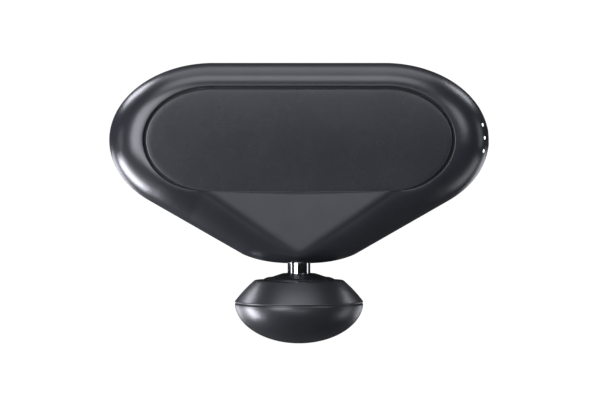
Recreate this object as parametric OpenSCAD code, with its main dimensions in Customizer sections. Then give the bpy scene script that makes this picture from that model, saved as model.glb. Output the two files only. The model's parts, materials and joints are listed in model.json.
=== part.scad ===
// Palm-size percussive massage gun with a ball head.
// +Z is up and the front faces -Y. The origin lies on the output shaft's axis, in the middle
// of the body's depth, level with the centres of its two lobes. The head points down -Z.

/* [Body] */
// Width of the body from lobe end to lobe end
body_w = 166; // [160:1:200]
// Depth of the body from the front cover to the rear cover
body_d = 46; // [45:1:56]
// Half-height of the lobes above and below their centres
lobe_h = 33.7; // [33:0.1:42]
// Half-length of the ellipse that rounds each lobe
lobe_l = 45.6; // [42:0.1:48]
// Drop from the lobes' centres to the tip of the nose
nose_drop = 54.1; // [53:0.1:66]
// Half-width of the nose at its corners
nose_half = 24.4; // [22:0.1:30]
// Rise from the tip of the nose to its corners
nose_rise = 3.9; // [2:0.1:6]
// Half-depth of the body at the tip of the nose
nose_half_d = 15; // [14:0.1:20]
// Thickness of the housing walls
wall = 2.4; // [1.8:0.1:3]
// Half-depth of the straight rim at the widest part
rim_half = 6.9; // [6:0.1:8]

/* [Covers] */
// Half-height of the front and rear covers; their lower edge is the fold in the housing
panel_h = 22.1; // [20:0.1:24]
// Half-length of the ellipse at each end of a cover
panel_l = 28.4; // [26:0.1:30]
// Width of the rounded band between the body's end and a cover
band_end = 15.1; // [14:0.1:18]
// Width of the rounded band at the corners of the nose
band_nose = 8; // [6:0.1:10]
// Width of the rounded band at the tip of the nose
band_tip = 4; // [3:0.1:6]
// Thickness of the covers
cover_t = 1.4; // [1:0.1:2]
// Thickness of the housing floor under the covers
floor_t = 2.2; // [1.6:0.1:2.6]
// Width of the groove round a cover
groove_w = 0.9; // [0.5:0.1:1.5]

/* [Drive] */
// Travel of the head
stroke = 12; // [10:0.2:14.4]
// Diameter of the output shaft
shaft_d = 10; // [8:0.1:12]
// Diameter of the crank pin
pin_d = 5; // [4:0.1:6]
// Diameter of the roller on the crank pin
roller_d = 14; // [12:0.1:16]
// Thickness of the roller and of the yoke
yoke_t = 5; // [4:0.1:6]
// Diameter of the motor
motor_d = 33.2; // [30:0.1:34]
// Length of the motor's rotor
rotor_len = 8.4; // [8:0.1:10]
// Diameter of the motor's shaft
motor_shaft_d = 4; // [3:0.1:5]
// Height of the motor's axis above the lobes' centres
motor_z = 8; // [7:0.1:9]
// Radius of the counterweight
weight_r = 13.5; // [12:0.1:14]
// Wall of the sleeve bush
bush_wall = 2.5; // [1.5:0.1:3]

/* [Battery] */
// Diameter of a cell
cell_d = 18; // [17:0.1:18.4]
// Length of a cell
cell_l = 49; // [45:0.1:50]

/* [Head] */
// Length of shaft that shows between the nose and the head
shaft_gap = 4.6; // [3:0.1:8]
// Depth of shaft inside the head
socket_depth = 19; // [15:0.1:21]
// Radius of the collar where the shaft enters
collar_r = 7.4; // [7.3:0.1:9]
// Radius of the collar where it meets the head
collar_base_r = 15.4; // [14:0.1:17]
// Height of the collar
collar_h = 3; // [2:0.1:5]
// Radius of the flat top of the head
head_top_r = 19.6; // [18:0.1:22]
// Largest radius of the head
head_r = 28.4; // [26:0.1:34]
// Height of the head's cone above its widest line
head_cone_h = 9.4; // [8:0.1:12]
// Height of the head's dome below its widest line
head_dome_h = 18.4; // [17:0.1:22]

/* [Controls] */
// Height of the button above the lobes' centres
button_z = 0.9; // [0:0.1:3]
// Length of the button
button_l = 15; // [12:0.1:18]
// Width of the button
button_w = 8.8; // [7:0.1:10]
// How far the button stands out of the body
button_proud = 0.35; // [0.2:0.05:1]
// Travel of the button
button_travel = 0.6; // [0.3:0.1:0.8]
// Distance between the indicator lights
led_pitch = 5.6; // [4:0.1:7]
// Diameter of an indicator light
led_d = 1.5; // [1:0.1:2]

/* [Fasteners] */
// Diameter of the housing screws
screw_d = 2.5; // [2:0.1:3]
// Length of the housing screws under the head
screw_l = 16; // [12:0.5:20]

/* [Hidden] */
$fn = 48;

// Clearances, radial or per side
run_gap = 0.03;     // a shaft that turns or slides in a bore
small_gap = 0.1;    // a piece that drops into its seat
fit_gap = 0.25;     // a moving part in its opening
air_gap = 0.6;      // a moving part beside a fixed one

// Outline of the body
half_w = body_w / 2;
half_d = body_d / 2;
lobe_x = half_w - lobe_l;
panel_x = half_w - band_end - panel_l;
corner_z = nose_rise - nose_drop;
band_top = lobe_h - panel_h;
lobe_steps = 16;
nose_steps = 6;
band_steps = 5;
nose_power = 2.7;
// Angle on the lobe's ellipse where the straight side leaves it
corner_u = [(nose_half - lobe_x) / lobe_l, corner_z / lobe_h];
side_t = atan2(corner_u[1], corner_u[0]) + acos(1 / norm(corner_u));
side_end = [lobe_x + lobe_l * cos(side_t), lobe_h * sin(side_t)];
side_angle = atan2(side_end[1] - corner_z, side_end[0] - nose_half);

// One stop on the right half of the outline: [rim point, inward direction, cover-side point]
function stop(p, v, band) = [p, v, p + v * band];
function mix_stop(a, b, f) = [for (k = [0:2]) a[k] * (1 - f) + b[k] * f];
lobe_stops = [for (i = [0:lobe_steps]) let (t = 90 + (side_t - 90) * i / lobe_steps)
    stop([lobe_x + lobe_l * cos(t), lobe_h * sin(t)], [-cos(t), -sin(t)],
         band_top + (band_end - band_top) * pow(cos(t), 2))];
nose_stops = [for (i = [0:nose_steps]) let (f = 1 - i / nose_steps)
    stop([nose_half * f, -nose_drop + nose_rise * pow(f, nose_power)],
         [-tan(side_angle / 2) * f, 1], band_tip + (band_nose - band_tip) * f)];
last_lobe = lobe_stops[lobe_steps];
fold_f = (last_lobe[2][1] + panel_h) / (last_lobe[2][1] - nose_stops[0][2][1]);
half_rim = concat(lobe_stops, [mix_stop(last_lobe, nose_stops[0], fold_f)], nose_stops);
half_n = len(half_rim);
rim_n = 2 * half_n - 1;
// Stops all the way round; the left half mirrors the right
function flip(p) = [-p[0], p[1]];
rim = concat(half_rim, [for (i = [half_n - 2:-1:0]) [for (p = half_rim[i]) flip(p)]]);

// Half-depth of the body's flats at height z: level down to the fold, then sloping to the nose
fold_slope = (half_d - nose_half_d) / (nose_drop - panel_h);
function flat_y(z) = half_d + min(0, z + panel_h) * fold_slope;
function rim_y(z) = rim_half * flat_y(z) / half_d;
function outline(inset) = [for (s = rim) s[0] + s[1] * inset];

// A point of the rounded band: swing goes from 0 at the rim to 90 at the cover side
function band_pt(s, swing, inset, lift) =
    let (p = s[0] + s[1] * inset, q = s[2], r = p + (q - p) * (1 - cos(swing)),
         y0 = rim_y(s[0][1]), y1 = flat_y(q[1]) - lift)
    [r[0], -(y0 + (y1 - y0) * sin(swing)), r[1]];

// The front half of the body, filled, with its rim set in by inset and its flats by lift
module pillow(inset, lift, base) {
    ring_n = band_steps + 2;
    points = concat(
        [for (s = rim) let (p = s[0] + s[1] * inset) [p[0], base, p[1]]],
        [for (k = [0:band_steps]) for (s = rim) band_pt(s, 90 * k / band_steps, inset, lift)]);
    skin = [for (k = [0:ring_n - 2]) for (i = [0:rim_n - 1])
        let (a = k * rim_n + i, b = k * rim_n + (i + 1) % rim_n)
        each [[a, b, a + rim_n], [b, b + rim_n, a + rim_n]]];
    top = (ring_n - 1) * rim_n;
    // The flats are closed by strips from each stop to its mirror image
    caps = [for (i = [0:half_n - 2]) let (j = i + 1, li = rim_n - 1 - i, lj = li - 1)
        each concat([[li, j, i], [top + i, top + j, top + li]],
                    j == lj ? [] : [[li, lj, j], [top + li, top + j, top + lj]])];
    polyhedron(points, concat(skin, caps), convexity = 4);
}

// Outline of a cover, grown by grow; its lower edge stops at the fold
module cover_outline(grow) {
    intersection() {
        union() {
            for (side = [-1, 1])
                translate([side * panel_x, 0])
                    polygon([for (i = [0:47]) let (t = i * 7.5)
                        [(panel_l + grow) * cos(t), (panel_h + grow) * sin(t)]]);
            square([2 * panel_x, 2 * (panel_h + grow)], center = true);
        }
        translate([-half_w, -panel_h])
            square([body_w, 3 * panel_h]);
    }
}

// Placing helpers
module plate_y(y0, y1) translate([0, y1, 0]) rotate([90, 0, 0]) linear_extrude(y1 - y0) children();
module rod_y(x, z, y0, y1, r) translate([x, y1, z]) rotate([90, 0, 0]) cylinder(h = y1 - y0, r = r);
module rod_x(y, z, x0, x1, r) translate([x0, y, z]) rotate([0, 90, 0]) cylinder(h = x1 - x0, r = r);
module rod_z(x, y, z0, z1, r) translate([x, y, z0]) cylinder(h = z1 - z0, r = r);
module box(x0, x1, y0, y1, z0, z1) translate([x0, y0, z0]) cube([x1 - x0, y1 - y0, z1 - z0]);
// A bar with round ends across X: width along Y, length along Z
module pill_x(x0, x1, z, width, length) {
    for (side = [-1, 1])
        rod_x(0, z + side * (length - width) / 2, x0, x1, width / 2);
    box(x0, x1, -width / 2, width / 2, z - (length - width) / 2, z + (length - width) / 2);
}
// A wire along a list of points, swept as a tube with eight sides
function unit(v) = v / norm(v);
module wire(path, r) {
    sides = 8;
    last = len(path) - 1;
    points = [for (i = [0:last])
        let (along = unit(unit(path[min(i + 1, last)] - path[min(i, last - 1)])
                          + unit(path[max(i, 1)] - path[max(i - 1, 0)])),
             across = unit(cross(along, [0.2, 1, 0.1])), up = cross(across, along))
        for (k = [0:sides - 1]) path[i] + r * (across * cos(k * 45) + up * sin(k * 45))];
    walls = [for (i = [0:last - 1]) for (k = [0:sides - 1])
        let (a = i * sides + k, b = i * sides + (k + 1) % sides)
        each [[a, b, a + sides], [b, b + sides, a + sides]]];
    ends = [[for (k = [sides - 1:-1:0]) k], [for (k = [0:sides - 1]) last * sides + k]];
    polyhedron(points, concat(walls, ends), convexity = 6);
}

// Drive: places along Y, rear positive, and along Z at rest, with the head drawn in
crank_r = stroke / 2;
pin_z = motor_z + crank_r;
half_yoke = yoke_t / 2;
disc_y0 = half_yoke + 0.8;
disc_y1 = disc_y0 + 3.6;
bell_y0 = disc_y1 + air_gap;
bell_face_t = 1.2;
bell_y1 = bell_y0 + rotor_len;
base_y0 = bell_y1 + 0.4;
inner_y = half_d - cover_t - floor_t;
frame_y1 = inner_y - 0.2;
frame_plate_t = 1.8;
frame_y0 = frame_y1 - frame_plate_t;
motor_r = motor_d / 2;
bell_t = 1.4;
magnet_t = 1.6;
magnet_gap = 0.4;
magnet_r0 = motor_r - bell_t - magnet_t;
stator_r = magnet_r0 - magnet_gap;
bearing_r = motor_shaft_d / 2 + 3;
bearing_t = 3;
tube_r = bearing_r + 1.6;
shaft_r = shaft_d / 2;
pin_r = pin_d / 2;
roller_r = roller_d / 2;
// The slot is taller than the roller, so that the shaft may follow the crank at a constant rate:
// this share of the crank's radius is the most that the true cosine leaves that rate
rate_error = 0.211;
slot_gap = crank_r * rate_error + fit_gap;
slot_half_h = roller_r + slot_gap;
slot_half_l = crank_r + roller_r + air_gap;
yoke_bar = 3.6;
yoke_half_w = slot_half_l + 3.4;
yoke_bottom = pin_z - slot_half_h - yoke_bar;
clamp_z1 = min(yoke_bottom - 2, motor_z - max(weight_r, motor_r) - air_gap);
clamp_l = 10;
clamp_z0 = clamp_z1 - clamp_l;
clamp_r = shaft_r + 3;
bush_r = shaft_r + bush_wall;
bush_z1 = clamp_z0 - stroke - 0.8;
seal_seat_z = wall + 0.5 - nose_drop;
seal_flange_t = 1.3;
bush_z0 = seal_seat_z + seal_flange_t + 0.6;
sleeve_r = bush_r + 2.5;
seal_r = shaft_r + 3;
seal_flange_r = seal_r + 1.6;

// Bosses and battery: from the yoke outwards
boss_r = 3.1;
boss_x = yoke_half_w + 1.5 + boss_r;
boss_z_up = 15.5;
boss_z_down = -15.5;
end_boss_r = 2.9;
screw_head_r = 2.1;
end_boss_x = half_w - band_end - screw_head_r - 0.6;
boss_sites = [[boss_x, boss_z_up, boss_r], [-boss_x, boss_z_up, boss_r],
              [boss_x, boss_z_down, boss_r], [-boss_x, boss_z_down, boss_r],
              [end_boss_x, 0, end_boss_r], [-end_boss_x, 0, end_boss_r]];
screw_r = screw_d / 2;
screw_head_h = 1.8;
screw_seat_y = 8;
cell_r = cell_d / 2;
cell_x1 = boss_x + boss_r + 0.8 + cell_r;
cell_x2 = cell_x1 + cell_d + 0.4;
cells_end = cell_x2 + cell_r + 0.3;
tip_h = 0.8;
tab_t = 0.3;
holder_y0 = 2;
holder_y1 = cell_r + 1.6;
holder_h = 17;

// Head: places along Z
collar_z1 = -nose_drop - shaft_gap;
collar_z0 = collar_z1 - collar_h;
head_wide_z = collar_z0 - head_cone_h;
head_z0 = head_wide_z - head_dome_h;
shaft_z0 = collar_z1 - socket_depth;
socket_r = shaft_r + run_gap;
core_r = socket_r + 4;
core_flange_r = core_r + 5;
core_z0 = shaft_z0 - 3;
collar_sunk = 0.8;

// Controls at the right-hand end
button_face = 2.6;
button_flange = 0.8;
button_lip = 1.2;
button_x0 = half_w + button_proud - button_face;
flange_x0 = button_x0 - button_flange;
stem_r = 2;
stem_l = 1.3;
stem_x0 = flange_x0 - stem_l;
switch_h = 1.7;
board_t = 1.2;
board_x1 = stem_x0 - button_travel - 0.1 - switch_h;
board_x0 = board_x1 - board_t;
board_z0 = button_z - 8.6;
led_swing = 30;
led_len = 3.2;
led_stops = [for (i = [-1:1]) let (z = button_z + i * led_pitch,
        xo = lobe_x + lobe_l * sqrt(1 - pow(z / lobe_h, 2)),
        xi = panel_x + panel_l * sqrt(1 - pow(z / panel_h, 2)))
    [xo + (xi - xo) * (1 - cos(led_swing)), -(rim_half + (half_d - rim_half) * sin(led_swing)), z]];
// Angle of a light's axis in front of the X axis: square to the band
led_tilt = atan2(band_end * sin(led_swing), (half_d - rim_half) * cos(led_swing));
led_chip_h = 0.5;
// The board ends this far past the outer light, less as the wall round it gets thicker
board_z1 = button_z + led_pitch + 5.2 - wall;
function led_chip_y(p) = p[1] + (p[0] - board_x1 - led_chip_h) * tan(led_tilt);

// Main board in the right-hand lobe
main_t = 1.6;
main_y0 = -10;
main_x0 = cell_x1 + cell_r + 1.6;
main_x1 = end_boss_x - end_boss_r - 1;
main_xm = (main_x0 + main_x1) / 2;
main_half_h = 19;
main_holes = [for (x = [main_x0 + 2.6, main_x1 - 2.6]) for (z = [-1, 1]) [x, z * (main_half_h - 2.6)]];
lead_plug = 3;
lead_run = 1.5;
post_r = 2.2;
board_screw_r = 1;
board_screw_head_r = 1.9;
capacitor_r = 2;
capacitor_in = 2.6 + board_screw_head_r + capacitor_r + 0.1;

// Charging inlet at the left-hand end
port_w = 3.2;
port_l = 8.9;
port_x0 = -half_w + 0.5;
port_x1 = port_x0 + 7.2;
port_wall = 0.35;

// Holes and bosses that both halves of the housing share
module boss_columns(y0, y1)
    for (b = boss_sites)
        difference() {
            rod_y(b[0], b[1], y0, y1, b[2]);
            // An end boss is cut flat where the cells come close to it
            if (abs(b[0]) > cell_x2)
                box(-cells_end, cells_end, y0 - 1, y1 + 1, -b[2] - 1, b[2] + 1);
        }
module seal_seat() rod_z(0, 0, -nose_drop + wall / 2, seal_seat_z, seal_flange_r + 1);
module seam_openings() {
    rod_z(0, 0, -nose_drop - 1, seal_seat_z + 1, seal_r);
    rod_z(0, 0, seal_seat_z, seal_seat_z + seal_flange_t + 1, seal_flange_r);
    pill_x(half_w - 6, half_w + 2, button_z, button_w + 2 * fit_gap, button_l + 2 * fit_gap);
    pill_x(half_w - 9, button_x0 + 0.05, button_z, button_w + 2 * button_lip + 2 * fit_gap,
           button_l + 2 * button_lip + 2 * fit_gap);
    pill_x(-half_w - 1, port_x1 + 1, 0, port_w + 2 * small_gap, port_l + 2 * small_gap);
}
module button_frame()
    box(flange_x0 - 1.2, half_w - wall, -rim_half, rim_half,
        button_z - button_l / 2 - 3, button_z + button_l / 2 + 3);
module gasket_ring(half_h)
    plate_y(-half_h, half_h)
        difference() {
            polygon(outline(0.8));
            polygon(outline(1.6));
        }
module cover_pegs(y0, y1, r)
    for (x = [-1, 1]) for (z = [-1, 1])
        rod_y(x * (panel_x + 4), z * (panel_h - 9), y0, y1, r);

// The front half of the housing as a shell, before its own features
module half_shell() {
    difference() {
        union() {
            difference() {
                pillow(0, 0, 0);
                pillow(wall, cover_t + floor_t, 1);
            }
            intersection() {
                pillow(0.2, 0.2, 0);
                union() {
                    boss_columns(-half_d, 1);
                    seal_seat();
                    button_frame();
                }
            }
        }
        plate_y(-half_d - 1, -half_d + cover_t)
            cover_outline(groove_w);
        seam_openings();
        gasket_ring(0.7);
        cover_pegs(-half_d, -half_d + cover_t + 1.7, 1.5);
    }
}

module front_housing() color("#3a3d42") {
    difference() {
        union() {
            half_shell();
            for (h = main_holes)
                rod_y(h[0], h[1], -inner_y - 0.5, main_y0, post_r);
        }
        for (b = boss_sites)
            rod_y(b[0], b[1], screw_seat_y - screw_l - 1, 1, screw_r);
        for (h = main_holes)
            rod_y(h[0], h[1], main_y0 - 5, main_y0 + 1, board_screw_r);
        for (p = led_stops)
            translate(p)
                rotate([0, 0, -led_tilt])
                    rod_x(0, 0, -led_len - 1, 2, led_d / 2 + 0.05);
    }
}
module rear_housing() color("#36393e") {
    difference() {
        union() {
            mirror([0, 1, 0])
                half_shell();
            for (x = [-1, 1])
                rod_y(x * frame_ear_x, frame_ear_z, web_y1, flat_y(frame_ear_z) - cover_t - 1, post_r + 0.6);
        }
        for (b = boss_sites) {
            rod_y(b[0], b[1], -1, screw_seat_y + 1, screw_r + small_gap);
            rod_y(b[0], b[1], screw_seat_y, half_d, screw_head_r + small_gap);
        }
        for (x = [-1, 1])
            rod_y(x * frame_ear_x, frame_ear_z, web_y1 - 1, web_y1 + 4, board_screw_r);
    }
}
module cover() {
    plate_y(-half_d, -half_d + cover_t)
        cover_outline(0);
    cover_pegs(-half_d + cover_t - 0.5, -half_d + cover_t + 1.5, 1.4);
}
module front_cover() color("#45484d") cover();
module rear_cover() color("#45484d") mirror([0, 1, 0]) cover();
module seam_gasket() color("#1b1c1e")
    difference() {
        gasket_ring(0.7);
        seam_openings();
    }
// A screw along Y with its head at the rear
module screw_y(x, z, y_seat, length, r, head_r, head_h) {
    difference() {
        union() {
            rod_y(x, z, y_seat, y_seat + head_h, head_r);
            rod_y(x, z, y_seat - length, y_seat + 0.1, r);
        }
        for (a = [0, 90])
            translate([x, y_seat + head_h, z])
                rotate([0, a, 0])
                    cube([head_r, head_h, head_r * 0.3], center = true);
    }
}
module housing_screws() color("#8d9095")
    for (b = boss_sites)
        screw_y(b[0], b[1], screw_seat_y, screw_l, screw_r, screw_head_r, screw_head_h);
module nose_seal() color("#17181a")
    difference() {
        union() {
            rod_z(0, 0, -nose_drop + 0.5, seal_seat_z, seal_r);
            rod_z(0, 0, seal_seat_z, seal_seat_z + seal_flange_t, seal_flange_r);
        }
        rod_z(0, 0, -nose_drop - 1, seal_seat_z + 5, shaft_r + small_gap);
    }

// Controls
module button() color("#2c2e32") {
    intersection() {
        pill_x(button_x0, half_w + 2, button_z, button_w, button_l);
        plate_y(-button_w, button_w)
            polygon(outline(-button_proud));
    }
    pill_x(flange_x0, button_x0, button_z, button_w + 2 * button_lip, button_l + 2 * button_lip);
    rod_x(0, button_z, stem_x0, flange_x0, stem_r);
}
module button_switch() color("#9a9da1") {
    box(board_x1, board_x1 + 1, -3, 3, button_z - 3, button_z + 3);
    rod_x(0, button_z, board_x1 + 1, board_x1 + switch_h, 1.6);
}
module control_board() color("#1f5b3a")
    box(board_x0, board_x1, led_chip_y(led_stops[1]) - 1, 7, board_z0, board_z1);
module led_lenses() color("#eef3ff")
    for (p = led_stops)
        translate(p)
            rotate([0, 0, -led_tilt])
                rod_x(0, 0, -led_len, 0.12, led_d / 2);
module led_chips() color("#f2e9b0")
    for (p = led_stops) {
        y = led_chip_y(p);
        box(board_x1, board_x1 + led_chip_h, y - 0.7, y + 0.7, p[2] - 0.7, p[2] + 0.7);
    }

// Power
module main_board() color("#1f5b3a")
    difference() {
        box(main_x0, main_x1, main_y0, main_y0 + main_t, -main_half_h, main_half_h);
        for (h = main_holes)
            rod_y(h[0], h[1], main_y0 - 1, main_y0 + main_t + 1, board_screw_r + small_gap);
    }
module board_chips() color("#222428") {
    y = main_y0 + main_t;
    box(main_xm - 3.5, main_xm + 3.5, y, y + 1, -3.5, 3.5);
    box(main_xm - 2, main_xm + 2, y, y + 1.4, 6, 11);
    box(main_xm - lead_plug, main_xm + lead_plug, y, y + 5, -17, -12);
    box(main_xm - 3.6, main_xm + 3.6, y, y + 1.1, -10, -6);
    rod_y(main_x1 - capacitor_in, 15.2, y, y + 5.5, capacitor_r);
}
module board_screws() color("#8d9095")
    for (h = main_holes)
        screw_y(h[0], h[1], main_y0 + main_t, 5, board_screw_r, board_screw_head_r, 1.2);
module charge_port() color("#b9bcc0")
    difference() {
        pill_x(port_x0, port_x1, 0, port_w, port_l);
        pill_x(port_x0 - 1, port_x1 - 1, 0, port_w - 2 * port_wall, port_l - 2 * port_wall);
    }
module charge_board() color("#1f5b3a")
    box(-half_w + wall + 2.2, -end_boss_x - end_boss_r - 0.6,
        port_w / 2, port_w / 2 + board_t, -7, 7);
module battery_cell(x) {
    rod_z(x, 0, -cell_l / 2, cell_l / 2 - tip_h, cell_r);
    rod_z(x, 0, cell_l / 2 - tip_h, cell_l / 2, 3);
}
module battery_cell_left_outer() color("#3f6fb0") battery_cell(-cell_x2);
module battery_cell_left_inner() color("#3f6fb0") battery_cell(-cell_x1);
module battery_cell_right() color("#3f6fb0") battery_cell(cell_x1);
// A trough under a row of cells, on two feet that reach the rear floor
module battery_holder(cells) {
    x0 = min(cells) - cell_r + 0.5;
    x1 = max(cells) + cell_r - 0.5;
    difference() {
        union() {
            box(x0, x1, holder_y0, holder_y1, -holder_h, holder_h);
            for (z = [-12, 12])
                box(x0 + 2, x1 - 2, holder_y1, inner_y - small_gap, z - 1, z + 1);
        }
        for (x = cells)
            rod_z(x, 0, -holder_h - 1, holder_h + 1, cell_r + small_gap);
    }
}
module battery_holder_left() color("#5a5d62") battery_holder([-cell_x2, -cell_x1]);
module battery_holder_right() color("#5a5d62") battery_holder([cell_x1]);
module battery_tabs() color("#c9cbce") {
    box(-cell_x2 - 3, -cell_x1 + 3, -2.5, 2.5, cell_l / 2, cell_l / 2 + tab_t);
    for (x = [-cell_x2, -cell_x1, cell_x1])
        box(x - 3, x + 3, -2.5, 2.5, -cell_l / 2 - tab_t, -cell_l / 2);
    box(cell_x1 - 3, cell_x1 + 3, -2.5, 2.5, cell_l / 2, cell_l / 2 + tab_t);
}
wire_r = 0.6;
module wiring() color("#b03030") {
    top = cell_l / 2 + tab_t + wire_r;
    over = lobe_h - wall - 2.5;
    y_board = main_y0 + main_t + wire_r;
    y_motor = frame_y0 - wire_r - 0.05;
    x_pass = yoke_half_w + wire_r - 0.3;
    // From the left-hand pair over the top of the drive to the board
    wire([[-cell_x1 + 2, 0, top], [-12, -4, over], [12, -4, over], [cell_x1 + 4, -6, top + 1.6],
          [main_x0 + 2, y_board, 24.5], [main_x0 + 5.6, y_board, 20.5], [main_x0 + 5.6, y_board, 12.6]],
         wire_r);
    // From the board's plug to the motor's base
    wire([[main_xm - lead_plug, y_board + 1.5, -14.5],
          [main_xm - lead_plug - lead_run, y_board + 1.5, -14.5], [main_x0 + 3, y_board + 1, -21],
          [cell_x1, -12, -27], [boss_x + 2, -4, -25.5], [x_pass, 10, -22.5], [x_pass, 14, -12],
          [x_pass, y_motor, motor_z - 6], [stator_r, y_motor, motor_z - 4]], wire_r);
}

// Drive frame: motor plate, shelf, web and the sleeve that holds the bush
web_y0 = clamp_r + 0.8;
web_y1 = web_y0 + 3;
frame_ear_x = sleeve_r + 4;
frame_ear_z = bush_z1 - 4;
grommet_r = boss_r + 1.6;
motor_hole_r = 9.5;
shelf_z1 = boss_z_down - 1;
module drive_frame() color("#a7aaae") {
    difference() {
        union() {
            box(-boss_x - grommet_r - 1.5, boss_x + grommet_r + 1.5, frame_y0, frame_y1,
                boss_z_down - grommet_r - 0.5, boss_z_up + grommet_r + 1.5);
            box(-boss_x + grommet_r + 1, boss_x - grommet_r - 1, web_y0, frame_y1,
                shelf_z1 - 3, shelf_z1);
            box(-sleeve_r + 1, sleeve_r - 1, web_y0, web_y1, bush_z0 + 3, shelf_z1);
            box(-frame_ear_x - 3, frame_ear_x + 3, web_y0, web_y1, frame_ear_z - 3, frame_ear_z + 3);
            rod_z(0, 0, bush_z0, bush_z1, sleeve_r);
        }
        rod_z(0, 0, bush_z0 - 1, bush_z1 + 1, bush_r);
        rod_y(0, motor_z, frame_y0 - 1, frame_y1 + 1, bearing_r);
        for (b = boss_sites)
            rod_y(b[0], b[1], frame_y0 - 1, frame_y1 + 1, grommet_r);
        for (x = [-1, 1])
            rod_y(x * frame_ear_x, frame_ear_z, web_y0 - 1, web_y1 + 1, board_screw_r + small_gap);
        for (a = [45:90:315]) {
            rod_y(motor_hole_r * cos(a), motor_z + motor_hole_r * sin(a), frame_y0 - 1, frame_y1 + 1, 1);
            rod_y(motor_hole_r * cos(a), motor_z + motor_hole_r * sin(a), frame_y1 - 1, frame_y1 + 1, 1.9);
        }
    }
}
module frame_grommets() color("#1b1c1e")
    for (x = [-1, 1]) for (z = [boss_z_up, boss_z_down])
        difference() {
            union() {
                rod_y(x * boss_x, z, frame_y0, frame_y1, grommet_r);
                rod_y(x * boss_x, z, frame_y0 - 1, frame_y0, grommet_r + 1);
            }
            rod_y(x * boss_x, z, frame_y0 - 2, frame_y1 + 1, boss_r);
        }
module frame_screws() color("#8d9095")
    for (x = [-1, 1])
        mirror([0, 1, 0])
            screw_y(x * frame_ear_x, frame_ear_z, -web_y0, 6.5, board_screw_r, board_screw_head_r, 1.2);

// Motor: the base, stator and bearings stand still; the bell, magnets and shaft turn
module motor_base() color("#7d8085")
    difference() {
        union() {
            rod_y(0, motor_z, base_y0, frame_y0, stator_r);
            rod_y(0, motor_z, bell_y0 + bell_face_t + 0.4, base_y0, tube_r);
        }
        rod_y(0, motor_z, bell_y0, base_y0, bearing_r);
        rod_y(0, motor_z, base_y0 - 1, frame_y1, motor_shaft_d / 2 + 0.5);
        for (a = [45:90:315])
            rod_y(motor_hole_r * cos(a), motor_z + motor_hole_r * sin(a), base_y0 - 1, frame_y0 + 1, 1);
    }
module motor_screws() color("#8d9095")
    for (a = [45:90:315]) {
        rod_y(motor_hole_r * cos(a), motor_z + motor_hole_r * sin(a), frame_y1 - 1, frame_y1, 1.9);
        rod_y(motor_hole_r * cos(a), motor_z + motor_hole_r * sin(a), base_y0, frame_y1 - 1, 1);
    }
module motor_bearing(y0)
    difference() {
        rod_y(0, motor_z, y0, y0 + bearing_t, bearing_r);
        rod_y(0, motor_z, y0 - 1, y0 + bearing_t + 1, motor_shaft_d / 2 + run_gap);
        for (y = [y0 - 1, y0 + bearing_t - 0.3])
            difference() {
                rod_y(0, motor_z, y, y + 1.3, bearing_r - 0.8);
                rod_y(0, motor_z, y - 1, y + 2, motor_shaft_d / 2 + 0.8);
            }
    }
bearing_front_y = bell_y0 + bell_face_t + 0.4;
module motor_bearing_front() color("#c3c5c8") motor_bearing(bearing_front_y);
module motor_bearing_rear() color("#c3c5c8") motor_bearing(base_y0 - bearing_t);
slots = 9;
stator_y0 = bell_y0 + bell_face_t + 1;
stator_y1 = bell_y1 - 1;
tooth_w = 2.2;
module motor_stator() color("#5f6267")
    translate([0, 0, motor_z])
        plate_y(stator_y0, stator_y1)
            difference() {
                union() {
                    circle(r = tube_r + 1.8);
                    for (i = [0:slots - 1])
                        rotate(i * 360 / slots)
                            translate([tube_r, -tooth_w / 2])
                                square([stator_r - tube_r - 0.6, tooth_w]);
                    intersection() {
                        difference() {
                            circle(r = stator_r);
                            circle(r = stator_r - 1.2);
                        }
                        for (i = [0:slots - 1])
                            rotate(i * 360 / slots)
                                translate([tube_r, -tooth_w * 1.6])
                                    square([stator_r, tooth_w * 3.2]);
                    }
                }
                circle(r = tube_r);
            }
module motor_windings() color("#b8733a")
    translate([0, 0, motor_z])
        for (i = [0:slots - 1])
            rotate([0, i * 360 / slots, 0])
                difference() {
                    box(tube_r + 2.4, stator_r - 1.5, stator_y0 - 0.6, stator_y1 + 0.6,
                        -tooth_w / 2 - 0.7, tooth_w / 2 + 0.7);
                    box(tube_r, stator_r, stator_y0, stator_y1, -tooth_w / 2, tooth_w / 2);
                }
module rotor_bell() color("#4a4d52")
    difference() {
        rod_y(0, motor_z, bell_y0, bell_y1, motor_r);
        rod_y(0, motor_z, bell_y0 + bell_face_t, bell_y1 + 1, motor_r - bell_t);
        rod_y(0, motor_z, bell_y0 - 1, bell_y1, motor_shaft_d / 2);
        for (i = [0:5])
            rod_y(9 * cos(i * 60), motor_z + 9 * sin(i * 60), bell_y0 - 1, bell_y0 + 2, 2.4);
    }
poles = 12;
module rotor_magnets() color("#8f9296")
    difference() {
        rod_y(0, motor_z, bell_y0 + bell_face_t + 0.3, bell_y1 - 0.4, motor_r - bell_t);
        rod_y(0, motor_z, bell_y0, bell_y1 + 1, magnet_r0);
        for (i = [0:poles / 2 - 1])
            translate([0, 0, motor_z])
                rotate([0, i * 360 / poles, 0])
                    cube([2 * motor_r, 4 * rotor_len, 0.5], center = true);
    }
module motor_shaft() color("#cfd1d4")
    rod_y(0, motor_z, disc_y0, base_y0 + 0.6, motor_shaft_d / 2);

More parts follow.
